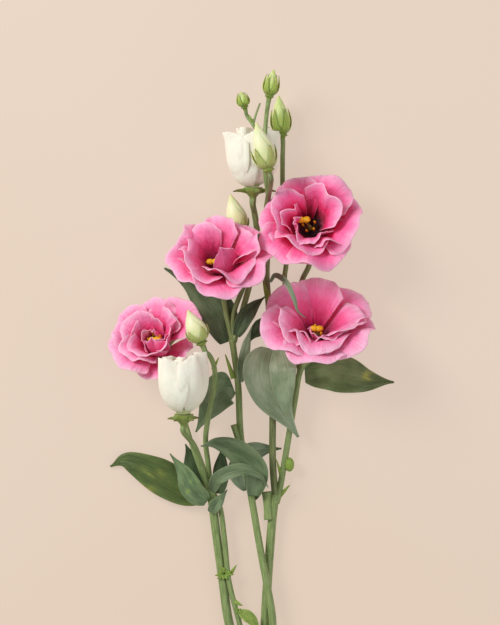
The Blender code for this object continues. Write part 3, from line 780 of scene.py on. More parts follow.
@dataclass(frozen=True)
class StemFinish:
    """Colours of the stem: fresh green below, tanned above, and its cut end."""

    name: str
    light: Point
    dark: Point
    tanned: Point
    cut: Point

    def material(self) -> Material:
        """Waxy green with fine streaks along it; tone adds the tan of the upper twigs.

        Returns:
            The finished material.
        """
        made = Shader(self.name, 0.42, Specular_IOR_Level=0.4, Subsurface_Weight=0.08,
                      Subsurface_Scale=0.002)
        across, along = made.form()
        tone = made.read("tone")
        streaks = made.noise((*made.ring(across, 2.6), along * 5.0 + tone * 19.0), 1.4)
        cloud, grain = made.noise(None, 60.0, 4.0), made.noise(None, 1100.0, 2.0)
        colour = made.mix(streaks.ease(0.35, 0.65), self.dark, self.light)
        colour = made.mix(cloud.ease(0.4, 0.7, 0.0, 0.4), colour, self.light)
        colour = made.mix(tone * streaks.ease(0.3, 0.7, 1.0, 0.4), colour, self.tanned)
        colour = made.mix(made.read("rim"), colour, self.cut)
        return made.dress(colour, streaks + grain * 0.25)


@dataclass(frozen=True)
class BudFinish:
    """Colours of a bud or sepal from its bottom to its tip, and of its furrows."""

    name: str
    stops: tuple
    furrow: Point

    def material(self) -> Material:
        """A satin skin that changes from bottom to tip, darker in the rolled petals' folds.

        Returns:
            The finished material.
        """
        made = Shader(self.name, 0.42, Specular_IOR_Level=0.4, Subsurface_Weight=0.25,
                      Subsurface_Scale=0.003, Sheen_Weight=0.1)
        across, along = made.form()
        streaks = made.noise((*made.ring(across, 5.0), along * 1.6), 1.6)
        cloud = made.noise(None, 140.0)
        colour = made.ramp(along + (streaks - 0.5) * 0.35, self.stops)
        colour = made.mix(made.read("rim") * 0.6, colour, self.furrow)
        colour = made.mix(cloud.ease(0.45, 0.8, 0.0, 0.2), colour, self.furrow)
        return made.dress(colour, streaks + cloud * 0.3)


@dataclass(frozen=True)
class GrainFinish:
    """A fine-grained matt skin in two near colours, as of a stigma or a filament."""

    name: str
    light: Point
    dark: Point

    def material(self) -> Material:
        """Two colours in small grains, with the relief of the same grains.

        Returns:
            The finished material.
        """
        made = Shader(self.name, 0.6, Subsurface_Weight=0.15, Subsurface_Scale=0.001)
        grains = made.noise(None, 1500.0, 2.0)
        return made.dress(made.mix(grains.ease(0.35, 0.65), self.dark, self.light), grains)


@dataclass(frozen=True)
class TableFinish:
    """Pale matt table top that glows a little, so that shadows on it stay faint."""

    colour: Point
    warm: Point
    glow: float
    matt: float             # share of the colour that is lit by the lamps

    def material(self) -> Material:
        """The two near colours in wide clouds, part of the light its own.

        Returns:
            The finished material.
        """
        made = Shader("table_top", 0.9, Specular_IOR_Level=0.1, Emission_Strength=self.glow)
        cloud = made.noise(None, 1.4, 2.0)
        colour = made.mix(cloud.ease(0.35, 0.65), self.colour, self.warm)
        made.put(made.sockets["Emission Color"], colour)
        return made.dress(made.mix(self.matt, (0, 0, 0), colour))


@dataclass(frozen=True)
class Petal:
    """One petal: a sector of a funnel round the bloom's axis."""

    turn: float         # round the bloom's axis, 0 to the right and 90 up the spray
    length: float
    span: float         # half of the sector that it fills at its rim
    root: float         # angle to the axis at the root
    spread: float       # angle to the axis that it opens to
    lip: float          # how much further its rim curls out
    wave: float         # height of the rim's waves
    phase: float        # where its waves and folds begin
    twist: float = 2.8  # how far one edge stands out and the other in
    curl: float = 2.4   # how far both edges curl out
    frill: float = 0.45  # height of the fine frill on the rim
    fold: float = 9.0   # degrees that its folds stand in and out
    dusk: float = 0.0   # 1 where it is dusky all over: its outer mauve and painted shade
    proud: float = 0.0  # how far it stands off the petals of its ring

    def funnel(self, reach: Array, across: Array) -> tuple[Array, Array, Array]:
        """Where the whole petal lies about the bloom's axis.

        The angle is spread + (root - spread) (1 - s)^2 + lip s^4 at the share s of the
        length, plus folds that run up the petal and grow as s^1.5. Its sine and cosine
        are summed along every line from the root to the rim.

        Args:
            reach: share of the length at each point, one column for each line.
            across: place across, from -1 to 1, of each line.

        Returns:
            Distance from the axis, height and angle to it at each point.
        """
        folds = (np.sin(4.3 * across + 2.1 * self.phase)
                 + 0.6 * np.sin(8.9 * across - 1.3 * self.phase)) * self.fold
        roll = 1 + 0.35 * np.sin(2.7 * across + 1.7 * self.phase)
        angle = np.radians(self.spread + (self.root - self.spread) * (1 - reach) ** 2
                           + self.lip * roll * reach ** 4 + folds * reach ** 1.5)
        step = np.diff(reach, axis=0, prepend=0.0 * reach[:1]) * self.length
        shift = ROOT_SHIFT * math.sin(math.radians(self.root))
        return (ROOT_RADIUS + shift + np.cumsum(np.sin(angle) * step, axis=0),
                ROOT_HEIGHT - shift + np.cumsum(np.cos(angle) * step, axis=0), angle)

    def lift(self, reach: Array, along: Array, across: Array) -> Array:
        """How far the petal stands outside its funnel.

        It is wave r^3 sin(1.6 pi a) at the place a across and the share r of the length,
        less the curl of both edges and the twist from one edge to the other, plus a frill
        of short waves on the edge and low wrinkles all over.

        Args:
            reach: share of the length at each point.
            along: the same before the rim was rounded.
            across: place across, from -1 to 1.

        Returns:
            The lift at each point.
        """
        edge = np.maximum(along ** 9, np.abs(across) ** 11 * smoothstep(0.2, 0.7, along))
        frill = edge * (np.sin(11 * across + 5 * self.phase + 6 * along)
                        + 0.6 * np.sin(23 * across - 3 * self.phase))
        wrinkles = (np.sin(13 * across + 4 * np.sin(5 * along + self.phase))
                    * np.cos(9 * along + 6 * across + 2 * self.phase))
        return (self.wave * reach ** 3 * np.sin(RIM_WAVES * math.pi * across + self.phase)
                - self.curl * reach ** 2 * across ** 4
                - self.twist * (ROOT_TWIST + (1 - ROOT_TWIST) * reach) * across
                + self.frill * (frill + 0.5 * reach ** 1.5 * wrinkles) - self.proud)

    def surface(self, base: Point, axis: Point) -> Surface:
        """The petal as a thin closed blade.

        Args:
            base: the bloom's base.
            axis: the direction that the bloom faces.

        Returns:
            The funnel, with its lift, swung over the petal's sector, which is narrower at
            the root. The rim is rounded as 1 - 0.2 |a|^2.4 and a little ragged.
        """
        along, across = grid(PETAL_GRID)
        along, across = along ** 0.9, np.sign(across) * np.abs(across) ** 0.9
        ragged = (np.sin(8.3 * across + 3.1 * self.phase)
                  + 0.7 * np.sin(17.9 * across - 2.3 * self.phase)
                  + 0.4 * np.sin(31 * across + self.phase))
        reach = along * (1 - ROUNDING * np.abs(across) ** CORNER - 0.006 * (ragged + 1.4))
        far, high, angle = self.funnel(reach, across)
        fill = np.sin(math.pi / 2 * np.minimum(reach / FULL_AT, 1))
        swing = math.radians(self.turn) + across * math.radians(self.span) * (
            ROOT_SPAN + (1 - ROOT_SPAN) * fill)
        lift = self.lift(reach, along, across)
        middle = placed(base, axis, far - np.cos(angle) * lift, swing,
                        high + np.sin(angle) * lift)
        rim = np.maximum(along ** 16, np.abs(across) ** 18 * smoothstep(0.1, 0.5, along))
        tone = (self.turn * 0.37 + self.length * 1.7 + self.phase) % 1.0 + self.dusk
        return blade(middle, PETAL_THICK - 0.33 * rim, across, along, rim, tone, 1.0)


def petals(*rows: Point, **more: float) -> tuple[Petal, ...]:
    """Petals from rows of turn, length, span, root, spread, lip, wave and phase."""
    return tuple(Petal(*row, **more) for row in rows)


@dataclass(frozen=True)
class Bloom:
    """One flower head: its base, the direction that it faces, its petals and its calyx."""

    name: str
    base: tuple
    axis: tuple
    sepal_turn: float
    stem_radius: float
    petals: tuple
    inner: tuple = ()   # small petals that the solids leave out
    style: float = 0.0  # height of the stigma over the base
    lean: tuple = (0, 0)    # how far the stigma leans to the right and up the spray
    slot: Slot = Slot.PINK
    opening: float = 84.0   # angle to the axis that its sepals open to
    sepal: float = 15.0     # length of its sepals
    mouth: float = CUP_MOUTH

    def corolla(self, finish: Material) -> None:
        """All petals and the receptacle that they grow from.

        Args:
            finish: the petals' material.
        """
        core = turned(CORE, CORE_SIDES, self.base, self.axis, reach=0.0)
        grown = [petal.surface(self.base, self.axis) for petal in self.petals + self.inner]
        piece(self.name + "_corolla", [core, *grown], finish, self.slot,
              self.name + "_petals")

    def calyx(self, finish: Material) -> None:
        """The fluted cup under the bloom and its five narrow spreading sepals.

        The half width of a sepal at the share s of its length is
        1.7 (1 - s)^0.75 + 0.25, and its half depth 0.55 of that.

        Args:
            finish: the material of the cup and the sepals.
        """
        profile = ((0, 0), (self.mouth, 0), (self.mouth * 0.94, -2.4),
                   (self.stem_radius + 0.5, -6.4), (self.stem_radius + 0.1, -CUP_LENGTH),
                   (0, -CUP_LENGTH))
        parts = [turned(profile, CUP_SIDES, self.base, self.axis, flute=0.05, reach=0.3)]
        share = np.linspace(0, 1, SPIKE_POINTS)
        slope = np.radians(self.opening) * (0.9 + 0.2 * share)
        far = 2.0 + self.sepal * share * np.sin(slope)
        high = -3.4 + self.sepal * share * np.cos(slope)
        width = 1.7 * (1 - share) ** 0.75 + SEPAL_TIP
        depth = SPIKE_FLAT * width
        for swing in swings(math.radians(self.sepal_turn)):
            path = placed(self.base, self.axis, far, swing, high)
            path[:, 2] = np.maximum(path[:, 2], depth)
            parts.append(tube(path, width, depth, SPIKE_SIDES))
        piece(self.name + "_sepals", parts, finish, Slot.CALYX, self.name + "_calyx")

    def pistil(self, green: Material, yellow: Material) -> None:
        """Ovary and style in green, and the yellow two-lobed stigma with its stamens.

        Args:
            green: the material of the ovary, the style and the stamens' threads.
            yellow: the material of the stigma and the anthers.
        """
        right, up, out = frame_of(self.axis)
        foot, seat = np.asarray(self.base), CORE_HEIGHT + GAP
        ovary = ((0, seat + 6.5), (0.9, seat + 5.6), (1.7, seat + 3), (1.5, seat + 0.6),
                 (1.2, seat), (0, seat))
        top = foot + out * self.style + right * self.lean[0] + up * self.lean[1]
        stalks = [turned(ovary, OVARY_SIDES, foot, self.axis),
                  rod(foot + out * (seat + 4), top, STYLE_RADIUS, STYLE_SIDES)]
        grains = [ball(top + right * 1.7 * sign + out * STYLE_RADIUS, self.axis, LOBE_SIZE,
                       LOBE_GRID, 1.0, sign) for sign in (-1, 1)]
        for index, swing in enumerate(swings(0.5)):
            start = placed(foot, self.axis, 2.2, swing, seat)
            end = placed(foot, self.axis, 4.2, swing, seat + THREAD_LENGTH)
            stalks.append(rod(start, end, THREAD_RADIUS, THREAD_SIDES))
            grains.append(ball(end, self.axis, ANTHER_SIZE, LOBE_GRID, 1.0, index))
        piece(self.name + "_style", stalks, green, Slot.STIGMA, self.name + "_pistil")
        piece(self.name + "_stigma", grains, yellow, Slot.STIGMA)


@dataclass(frozen=True)
class Bud:
    """One closed bud: its bottom, the direction of its tip, and its size."""

    name: str
    bottom: tuple
    axis: tuple
    length: float
    radius: float
    sepal: float        # length of its sepals
    flare: float        # how far the sepal tips stand off
    stem_radius: float

    def radius_at(self, share: Array) -> Array:
        """The radius R sin(pi s^0.62)^0.9 at the share s of the length."""
        belly = np.sin(math.pi * np.clip(share, 0, 1) ** BUD_BELLY)
        return self.radius * np.clip(belly, 0, None) ** BUD_ROUND

    def body(self, finish: Material) -> None:
        """The bud's skin: three petals rolled round each other, each edge a low step.

        The place u from one edge to the next is the fraction of (3 a + 5.75 s) / 2 pi at
        the angle a and the share s of the length. The skin rises fast after an edge and
        falls as (1 - u)^0.7, and the furrow is exp(-(u / 0.045)^2).

        Args:
            finish: the skin's material.
        """
        share = (1 - np.cos(np.linspace(0, math.pi, BUD_GRID[0])))[:, None] / 2
        angle = swings(0.0, BUD_GRID[1])
        spiral = (3 * angle + BUD_TWIST * share) / TURN % 1.0
        fade = np.sin(math.pi * share) ** 0.6
        step = smoothstep(0.0, 0.16, spiral) * (1 - spiral) ** 0.7 * fade
        furrow = np.exp(-(np.minimum(spiral, 1 - spiral) / 0.045) ** 2) * fade
        points = placed(self.bottom, self.axis, self.radius_at(share) * (0.955 + 0.075 * step),
                        angle, GAP + self.length * share)
        piece(self.name + "_skin", [shell(points, share, rim=furrow)], finish, Slot.BUD,
              self.name)

    def calyx(self, finish: Material) -> None:
        """A cup and five keeled sepals that lie on the bud and end in thin points.

        A sepal lies off the bud's skin by 0.6 + flare s^2 and a keel of
        0.55 (1 - |a|) (1 - s)^0.5, and is 0.58 (1 - s^1.3)^0.9 of the bud's radius to each
        side of its middle.

        Args:
            finish: the material of the cup and the sepals.
        """
        profile = ((0, 0), (self.radius * 0.5, 0), (self.stem_radius + 0.4, -2.2),
                   (self.stem_radius + 0.1, -BUD_CUP_LENGTH), (0, -BUD_CUP_LENGTH))
        parts = [turned(profile, CORE_SIDES, self.bottom, self.axis, reach=0.2)]
        along, across = grid(SEPAL_GRID)
        high = self.sepal * along - 0.9 * (1 - along) ** 4
        skin = np.maximum(self.radius_at((high - GAP) / self.length),
                          self.radius * 0.42 * (1 - along) ** 5)
        keel = 0.55 * (1 - np.abs(across)) * (1 - along) ** 0.5
        radius = skin + 0.6 + self.flare * along ** 2 + keel
        half = np.maximum(0.58 * (1 - along ** 1.3) ** 0.9 * self.radius, SEPAL_TIP)
        half = across * half / np.maximum(radius, 0.6)
        thick = PETAL_THICK - 0.25 * np.maximum(np.abs(across) ** 8, along ** 12)
        for swing in swings(0.3):
            middle = placed(self.bottom, self.axis, radius, swing + half, high)
            parts.append(blade(middle, thick, across, along))
        piece(self.name + "_sepals", parts, finish, Slot.CALYX, self.name + "_calyx")


class LeafTone(Enum):
    """The looks that a leaf can have."""

    FRESH = LeafFinish("leaf_fresh", (148, 166, 136), (112, 132, 98), (178, 190, 160))
    DARK = LeafFinish("leaf_dark", (84, 110, 70), (48, 70, 38), (120, 140, 98))
    MIDDLE = LeafFinish("leaf_middle", (122, 144, 106), (84, 108, 70), (156, 172, 134))
    DEEP = LeafFinish("leaf_deep", (96, 118, 84), (58, 82, 50), (132, 150, 112))
    GLOSSY = LeafFinish("leaf_glossy", (98, 120, 60), (62, 84, 36), (150, 160, 104),
                        (176, 176, 70), 0.5, 0.5)
    SHOOT = LeafFinish("leaf_shoot", (158, 182, 92), (122, 150, 62), (190, 204, 130))
    PALE = LeafFinish("leaf_pale", (156, 176, 148), (118, 142, 110), (182, 196, 168))
    SPOTTED = LeafFinish("leaf_spotted", (126, 146, 96), (82, 104, 54), (164, 176, 128),
                         (196, 196, 80), 0.7, 0.7)
    YELLOWED = LeafFinish("leaf_yellowed_skin", (124, 150, 104), (86, 114, 74),
                          (160, 176, 130), (150, 186, 70), 0.9, 0.42)


@dataclass(frozen=True)
class Leaf:
    """One leaf: the points of its midrib from base to tip, width and folds."""

    name: str
    midrib: tuple
    width: float
    tone: LeafTone = LeafTone.FRESH
    fold: float = 12.0  # angle that each half rises over the midrib
    wave: float = 0.8   # height of the waves of its edges

    def surface(self) -> Surface:
        """The leaf as a thin closed blade.

        The half width at the share x of the length is
        width / 2 (0.05 + 0.95 sin(pi (0.05 + 0.95 x)^0.74)^(0.8 + 0.7 x)). Each half rises
        by the sine of the fold, and the midrib lies in a groove of exp(-(a / 0.07)^2).

        Returns:
            The closed blade.
        """
        along, across = grid(LEAF_GRID)
        line = curve_through(self.midrib, along[:, 0])[:, None]
        ahead = unit(np.gradient(line, axis=0))
        side = unit(np.cross(ahead, UP))
        belly = np.sin(math.pi * (LEAF_FOOT + (1 - LEAF_FOOT) * along) ** LEAF_BELLY)
        outline = LEAF_FOOT + (1 - LEAF_FOOT) * np.clip(belly, 0, None) ** (
            LEAF_ROUND + LEAF_POINT * along)
        seed = self.width + self.midrib[0][1]
        phase = seed * np.sign(across)
        full = outline * (1 + 0.02 * np.sin(17 * along + phase) * np.abs(across) ** 3)
        half, fold = self.width / 2 * full, math.radians(self.fold)
        rise = half * np.abs(across) * math.sin(fold)
        rise += self.wave * np.sin(LEAF_WAVES * math.pi * along) * across ** 2
        rise += 0.35 * np.sin(13 * along + phase) * across ** 4 * full
        rise += 0.1 * np.cos(across * 6 * math.pi) * full
        rise -= 0.3 * np.exp(-(across / 0.07) ** 2)
        middle = (line + side * (half * across * math.cos(fold))[..., None]
                  + np.cross(side, ahead) * rise[..., None])
        rim = np.maximum(np.abs(across) ** 12, along ** 40)
        rib = np.exp(-(across / 0.06) ** 2) * (1 - along) ** 0.5
        return blade(middle, LEAF_THICK - 0.3 * rim + 0.5 * rib, across, along, rim,
                     seed * 0.37 % 1.0)

    def build(self, finish: Material) -> None:
        """Make the leaf a piece of the spray, in the finish given."""
        piece(self.name + "_blade", [self.surface()], finish, Slot.LEAF, self.name)


@dataclass(frozen=True)
class Stem:
    """One length of stem: the points that it runs through, its radius at both ends, and
    the bloom or bud at its end."""

    points: tuple
    start: float
    end: float
    head: str = ""
    tan: float = 0.0    # how tanned it is

    def surface(self, ends: dict[str, tuple[Array, Array]]) -> Surface:
        """The stem as a tube, a little swollen at both ends by 0.16 exp(-(d / 4)^2).

        Args:
            ends: the last two points of the stems that end under a bloom or bud.

        Returns:
            The closed tube, kept over the table.
        """
        route = [*self.points, *ends.get(self.head, ())]
        share = np.linspace(0, 1, 10 * len(route))
        path = curve_through(route, share)
        gone = line_lengths(path)
        radius = self.start + (self.end - self.start) * share
        radius = radius * (1 + 0.16 * np.exp(-(gone / 4) ** 2)
                           + 0.16 * np.exp(-((gone[-1] - gone) / 4) ** 2))
        path[:, 2] = np.maximum(path[:, 2], radius * 0.9)
        return tube(path, radius, radius, STEM_SIDES, self.tan, 0.03, 1.0,
                    gone[-1] / STREAK_LENGTH)


@dataclass(frozen=True)
class StemWork:
    """The branching stem: its lengths, its small bracts and its gall."""

    stems: tuple
    spurs: tuple
    knob: tuple
    tufts: tuple        # place, reach and number of the small leaves of each tuft

    def tuft_spurs(self) -> list[tuple[Array, Array, float]]:
        """The small leaves of the tufts, spread evenly round each tuft.

        Returns:
            Foot, tip and radius of each.
        """
        made = []
        for place, reach, count in self.tufts:
            for index, swing in enumerate(swings(0.5, count)):
                away = np.array((math.cos(swing), 0.7 * math.sin(swing), 0.35)) * reach
                longer = 1 + 0.22 * math.sin(4.0 * index)
                made.append((place + away * 0.3, place + away * longer, 0.2 * reach))
        return made

    def build(self, blooms: Sequence[Bloom], buds: Sequence[Bud],
              finish: Material, fresh: Material) -> None:
        """Make the stem, and the bracts and the gall on it.

        Args:
            blooms: the blooms that stems end under.
            buds: the buds that stems end under.
            finish: the stem's material.
            fresh: the bracts' and the gall's material.
        """
        ends = {}
        heads = [(b.name, b.base, b.axis, CUP_LENGTH) for b in blooms]
        heads += [(b.name, b.bottom, b.axis, BUD_CUP_LENGTH) for b in buds]
        for name, base, axis, cup in heads:
            ends[name] = [placed(base, axis, 0.0, 0.0, -cup - more)
                          for more in (GAP + 3.5, -STEM_IN_CUP)]
        piece("stem_work", [stem.surface(ends) for stem in self.stems], finish, Slot.STEM,
              "stems")
        share = np.linspace(0, 1, BRACT_POINTS)
        place, axis, size = self.knob
        grown = []
        for foot, tip, radius in (*self.spurs, *self.tuft_spurs()):
            path = np.asarray(foot) + (np.asarray(tip, float) - foot) * share[:, None]
            path[:, 2] += 0.8 * np.sin(math.pi * share)
            width = radius * 1.1 * (1 - share) ** 0.7 + 0.15
            grown.append(tube(path, width, width * BRACT_FLAT, SPIKE_SIDES))
        grown.append(ball(place, axis, size, KNOB_GRID))
        piece("stem_bracts", grown, fresh, Slot.STEM)


@dataclass(frozen=True)
class Studio:
    """The table top, the lights and the camera over it."""

    frame_height: float = 412.5     # of the view, on the table
    middle: tuple = (0.0, 79.5)
    distance: float = 2400.0
    lens: float = 200.0
    aimed_at: float = 22.0          # height over the table that is in the frame exactly
    table_half: float = 4.0         # metres, as all below
    table_height: float = -0.0002
    lit_spot: tuple = (0.0, 0.07, 0.0)
    lamps: tuple = (                # name, place, size, power and colour of each
        ("key", (-1.1, 0.85, 1.05), 0.7, 22.5, (1.0, 0.97, 0.93)),
        ("fill", (1.1, -0.3, 1.1), 1.3, 7.0, (1.0, 0.96, 0.94)),
    )
    sky: tuple = (1.0, 0.96, 0.93, 1.0)
    sky_strength: float = 0.36

    def build(self, table: Material) -> None:
        """Make the table, the camera, a large key light, a fill and a soft sky.

        Args:
            table: the table's material.
        """
        mesh = bpy.data.meshes.new("table")
        wide = self.table_half
        corners = ((-wide, -wide), (wide, -wide), (wide, wide), (-wide, wide))
        mesh.from_pydata([(*corner, self.table_height) for corner in corners], [],
                         [(0, 1, 2, 3)])
        mesh.materials.append(table)
        self._add("table", mesh)
        self._camera()
        for lamp in self.lamps:
            self._light(*lamp)
        world = bpy.data.worlds.new("sky")
        bpy.context.scene.world = world
        world.use_nodes = True
        sky = world.node_tree.nodes["Background"]
        sky.inputs["Color"].default_value = self.sky
        sky.inputs["Strength"].default_value = self.sky_strength
        bpy.context.scene.view_settings.view_transform = "Standard"

    def _add(self, name: str, data: bpy.types.ID) -> bpy.types.Object:
        """A new object in the scene."""
        made = bpy.data.objects.new(name, data)
        bpy.context.scene.collection.objects.link(made)
        return made

    def _camera(self) -> None:
        """Look straight down, with the sensor's long side up the spray."""
        camera = bpy.data.cameras.new("camera")
        camera.lens = self.lens
        camera.sensor_fit = "VERTICAL"
        camera.sensor_height = self.lens * self.frame_height / self.distance
        camera.sensor_width = camera.sensor_height
        camera.clip_end = 20.0
        made = self._add("camera", camera)
        made.location = ((self.middle[0] - CENTRE[0]) * MM, (self.middle[1] - CENTRE[1]) * MM,
                         (self.distance + self.aimed_at) * MM)
        bpy.context.scene.camera = made

    def _light(self, name: str, place: Point, size: float, power: float,
               colour: Point) -> None:
        """A square area light that faces the spray.

        Args:
            name: its name.
            place: where it hangs.
            size: length of its sides.
            power: its watts.
            colour: red, green and blue.
        """
        lamp = bpy.data.lights.new(name, "AREA")
        lamp.size, lamp.energy, lamp.color = size, power, colour
        made = self._add(name, lamp)
        made.location = place
        back = unit(np.asarray(place) - self.lit_spot)
        side = unit(np.cross(UP, back))
        turn = np.stack((side, np.cross(back, side), back), axis=1)
        made.rotation_mode = "QUATERNION"
        made.rotation_quaternion = Matrix(turn.tolist()).to_quaternion()


BLOOMS = (
    Bloom(
        "bloom_right", (43.5, 58, 13), (0.03, 0.7, 0.71), 18, 1.9,
        petals(
            (270, 44, 50, 34, 60, 52, 1.6, 5.2), (330, 46, 50, 34, 58, 54, 2.2, 2.2),
            (30, 44, 50, 34, 52, 52, 2.4, 0.9), (90, 42, 50, 30, 44, 30, 2.6, 0.4),
            (150, 43, 50, 34, 48, 40, 2.4, 3.4), (210, 45, 50, 34, 56, 52, 2.2, 4.1),
            (205, 39, 54, 34, 34, 60, 1.4, 2.9), (278, 41, 56, 34, 36, 66, 1.4, 1.1),
            (345, 41, 56, 34, 33, 60, 1.2, 0.2), (265, 24, 44, 30, 12, 44, 0.9, 0.5)),
        petals(
            (236, 33, 50, 44, 20, 62, 1.4, 2.2), (316, 34, 52, 44, 22, 60, 1.4, 5.9),
            frill=0.7),
        style=15,
    ),
    Bloom(
        "bloom_top", (41, 131.5, 12), (-0.14, 0.4, 0.905), 40, 1.8,
        petals(
            (350, 43, 50, 34, 56, 50, 2.6, 2.6), (50, 41, 50, 34, 50, 52, 2.2, 1.3),
            (110, 38, 50, 34, 46, 52, 2.2, 0.4), (170, 37, 50, 34, 48, 54, 2.4, 0.9),
            (230, 40, 50, 34, 56, 54, 2.0, 5.0), (290, 43, 50, 34, 60, 50, 2.6, 3.5),
            (30, 39, 64, 44, 12, 50, 1.6, 2.0), (152, 38, 56, 46, 10, 56, 2.0, 1.1),
            (256, 38, 56, 50, 16, 76, 2.4, 2.9), (322, 36, 40, 44, 34, 60, 2.4, 3.6),
            (200, 29, 40, 60, -20, 20, 1.6, 0.6)),
        petals((166, 32, 46, 56, -4, 30, 1.8, 3.3), (282, 33, 50, 50, 4, 58, 1.8, 4.9),
               frill=0.7),
        style=18, lean=(-3, 2),
    ),
    Bloom(
        "bloom_middle", (-19, 103.5, 15), (-0.04, 0.66, 0.75), 20, 1.8,
        petals(
            (270, 41, 50, 34, 58, 50, 1.8, 0.7), (330, 42, 50, 34, 54, 52, 2.2, 1.9),
            (30, 39, 50, 34, 42, 52, 2.6, 3.3), (90, 38, 50, 26, 30, 44, 2.6, 0.4),
            (150, 38, 50, 34, 42, 50, 2.6, 2.2), (210, 41, 50, 34, 55, 50, 2.4, 5.1),
            (20, 36, 58, 42, 14, 60, 2.0, 1.5), (140, 36, 56, 42, 14, 60, 2.0, 4.2),
            (222, 40, 54, 42, 27, 66, 1.4, 2.9), (292, 40, 56, 42, 27, 66, 1.4, 3.8),
        # a furled petal in dusky mauve, partly painted shade
        ) + petals((300, 33, 66, 72, -38, -8, 0.2, 4.4), frill=0.15, fold=3, dusk=0.999),
        style=14, lean=(-5, 0),
    ),
    Bloom(
        "bloom_left", (-60, 54, 9), (-0.22, 0.56, 0.8), 46, 1.7,
        petals(
            (270, 25, 50, 60, 78, 24, 1.5, 0.8), (330, 23, 44, 60, 80, 12, 1.5, 2.0),
            (30, 38, 50, 34, 58, 40, 1.5, 1.4), (90, 33, 50, 34, 50, 46, 1.5, 3.1),
            (150, 34, 50, 34, 54, 46, 1.5, 4.4), (210, 34, 50, 34, 64, 46, 1.5, 5.3),
            (55, 29, 58, 42, 24, 56, 1.5, 2.7), (145, 29, 58, 42, 24, 56, 1.5, 0.2),
            (226, 29, 50, 42, 32, 64, 1.5, 4.8), (268, 23, 60, 74, -26, 10, 1.5, 1.7)),
        petals(
            (238, 27, 70, 60, 6, 52, 1.0, 0.9), (352, 28, 70, 60, 4, 44, 1.2, 2.4),
            (110, 25, 66, 60, 0, 40, 1.2, 4.0), (190, 20, 60, 56, -16, 30, 0.8, 5.1),
            (310, 21, 60, 56, -18, 34, 0.8, 0.2), (84, 21, 64, 56, -34, 10, 0.8, 1.3)),
        style=13,
    ),
)

WHITE_BLOOMS = (
    Bloom(
        "white_top", (1.8, 162.5, 14.4), (0.0, 1.0, 0.03), 0, 2.0,
        petals(
            (188, 42, 76, 84, -13, 22, 0.9, 0.6), (308, 43, 76, 82, -13, 8, 1.0, 1.9),
            (68, 41, 76, 82, -13, 12, 0.9, 3.0), (240, 41, 58, 58, -12, 6, 0.6, 4.1),
            (0, 41, 58, 58, -12, 6, 0.6, 5.2), (120, 41, 58, 58, -12, 6, 0.6, 0.3),
            twist=1.0, curl=0.0),
        petals((236, 33, 54, 84, -13, 2, 0.3, 0.0), twist=0.4, curl=-0.4, proud=1.7),
        slot=Slot.WHITE, opening=80, sepal=14, mouth=6.4,
    ),
    Bloom(
        "white_left", (-43.6, 12.8, 42.6), (-0.02, 1.0, 0.1), 20, 1.9,
        petals(
            (212, 42, 74, 78, -16, 12, 1.6, 0.6), (332, 46, 74, 76, -16, 4, 1.6, 1.9),
            (92, 39, 74, 76, -16, 10, 1.2, 3.0), (272, 40, 58, 56, -14, 6, 0.6, 4.1),
            (32, 40, 58, 56, -14, 6, 0.6, 5.2), (152, 39, 58, 56, -14, 6, 0.6, 0.3),
            twist=1.0, curl=0.0),
        slot=Slot.WHITE, opening=80, sepal=9, mouth=6.4,
    ),
)

BUDS = (
    Bud("bud_summit", (12.8, 222.4, 26), (0.17, 1.0, 0.05), 17.6, 4.4, 14, 1.4, 1.4),
    Bud("bud_upper", (21.2, 197.5, 7.5), (-0.08, 1.0, 0.03), 26, 6.2, 17, 0.5, 1.6),
    Bud("bud_small", (-3.6, 215, 31), (-0.26, 1.0, 0.1), 10, 3.4, 9, 0.7, 1.1),
    Bud("bud_front", (12, 173, 44.6), (-0.26, 1.0, 0.0), 32, 7.2, 15, 1.0, 1.6),
    Bud("bud_behind", (-6.3, 132, 9.2), (-0.26, 1.0, 0.0), 27, 7.1, 9, 0.3, 1.7),
    Bud("bud_left", (-31.8, 60, 42.5), (-0.42, 1.0, 0.1), 23, 7.0, 10, 0.4, 1.7),
    Bud("bud_far_right", (63, 149, 14), (0.05, 1.0, 0.05), 13, 3.6, 11, 0.8, 1.2),
)

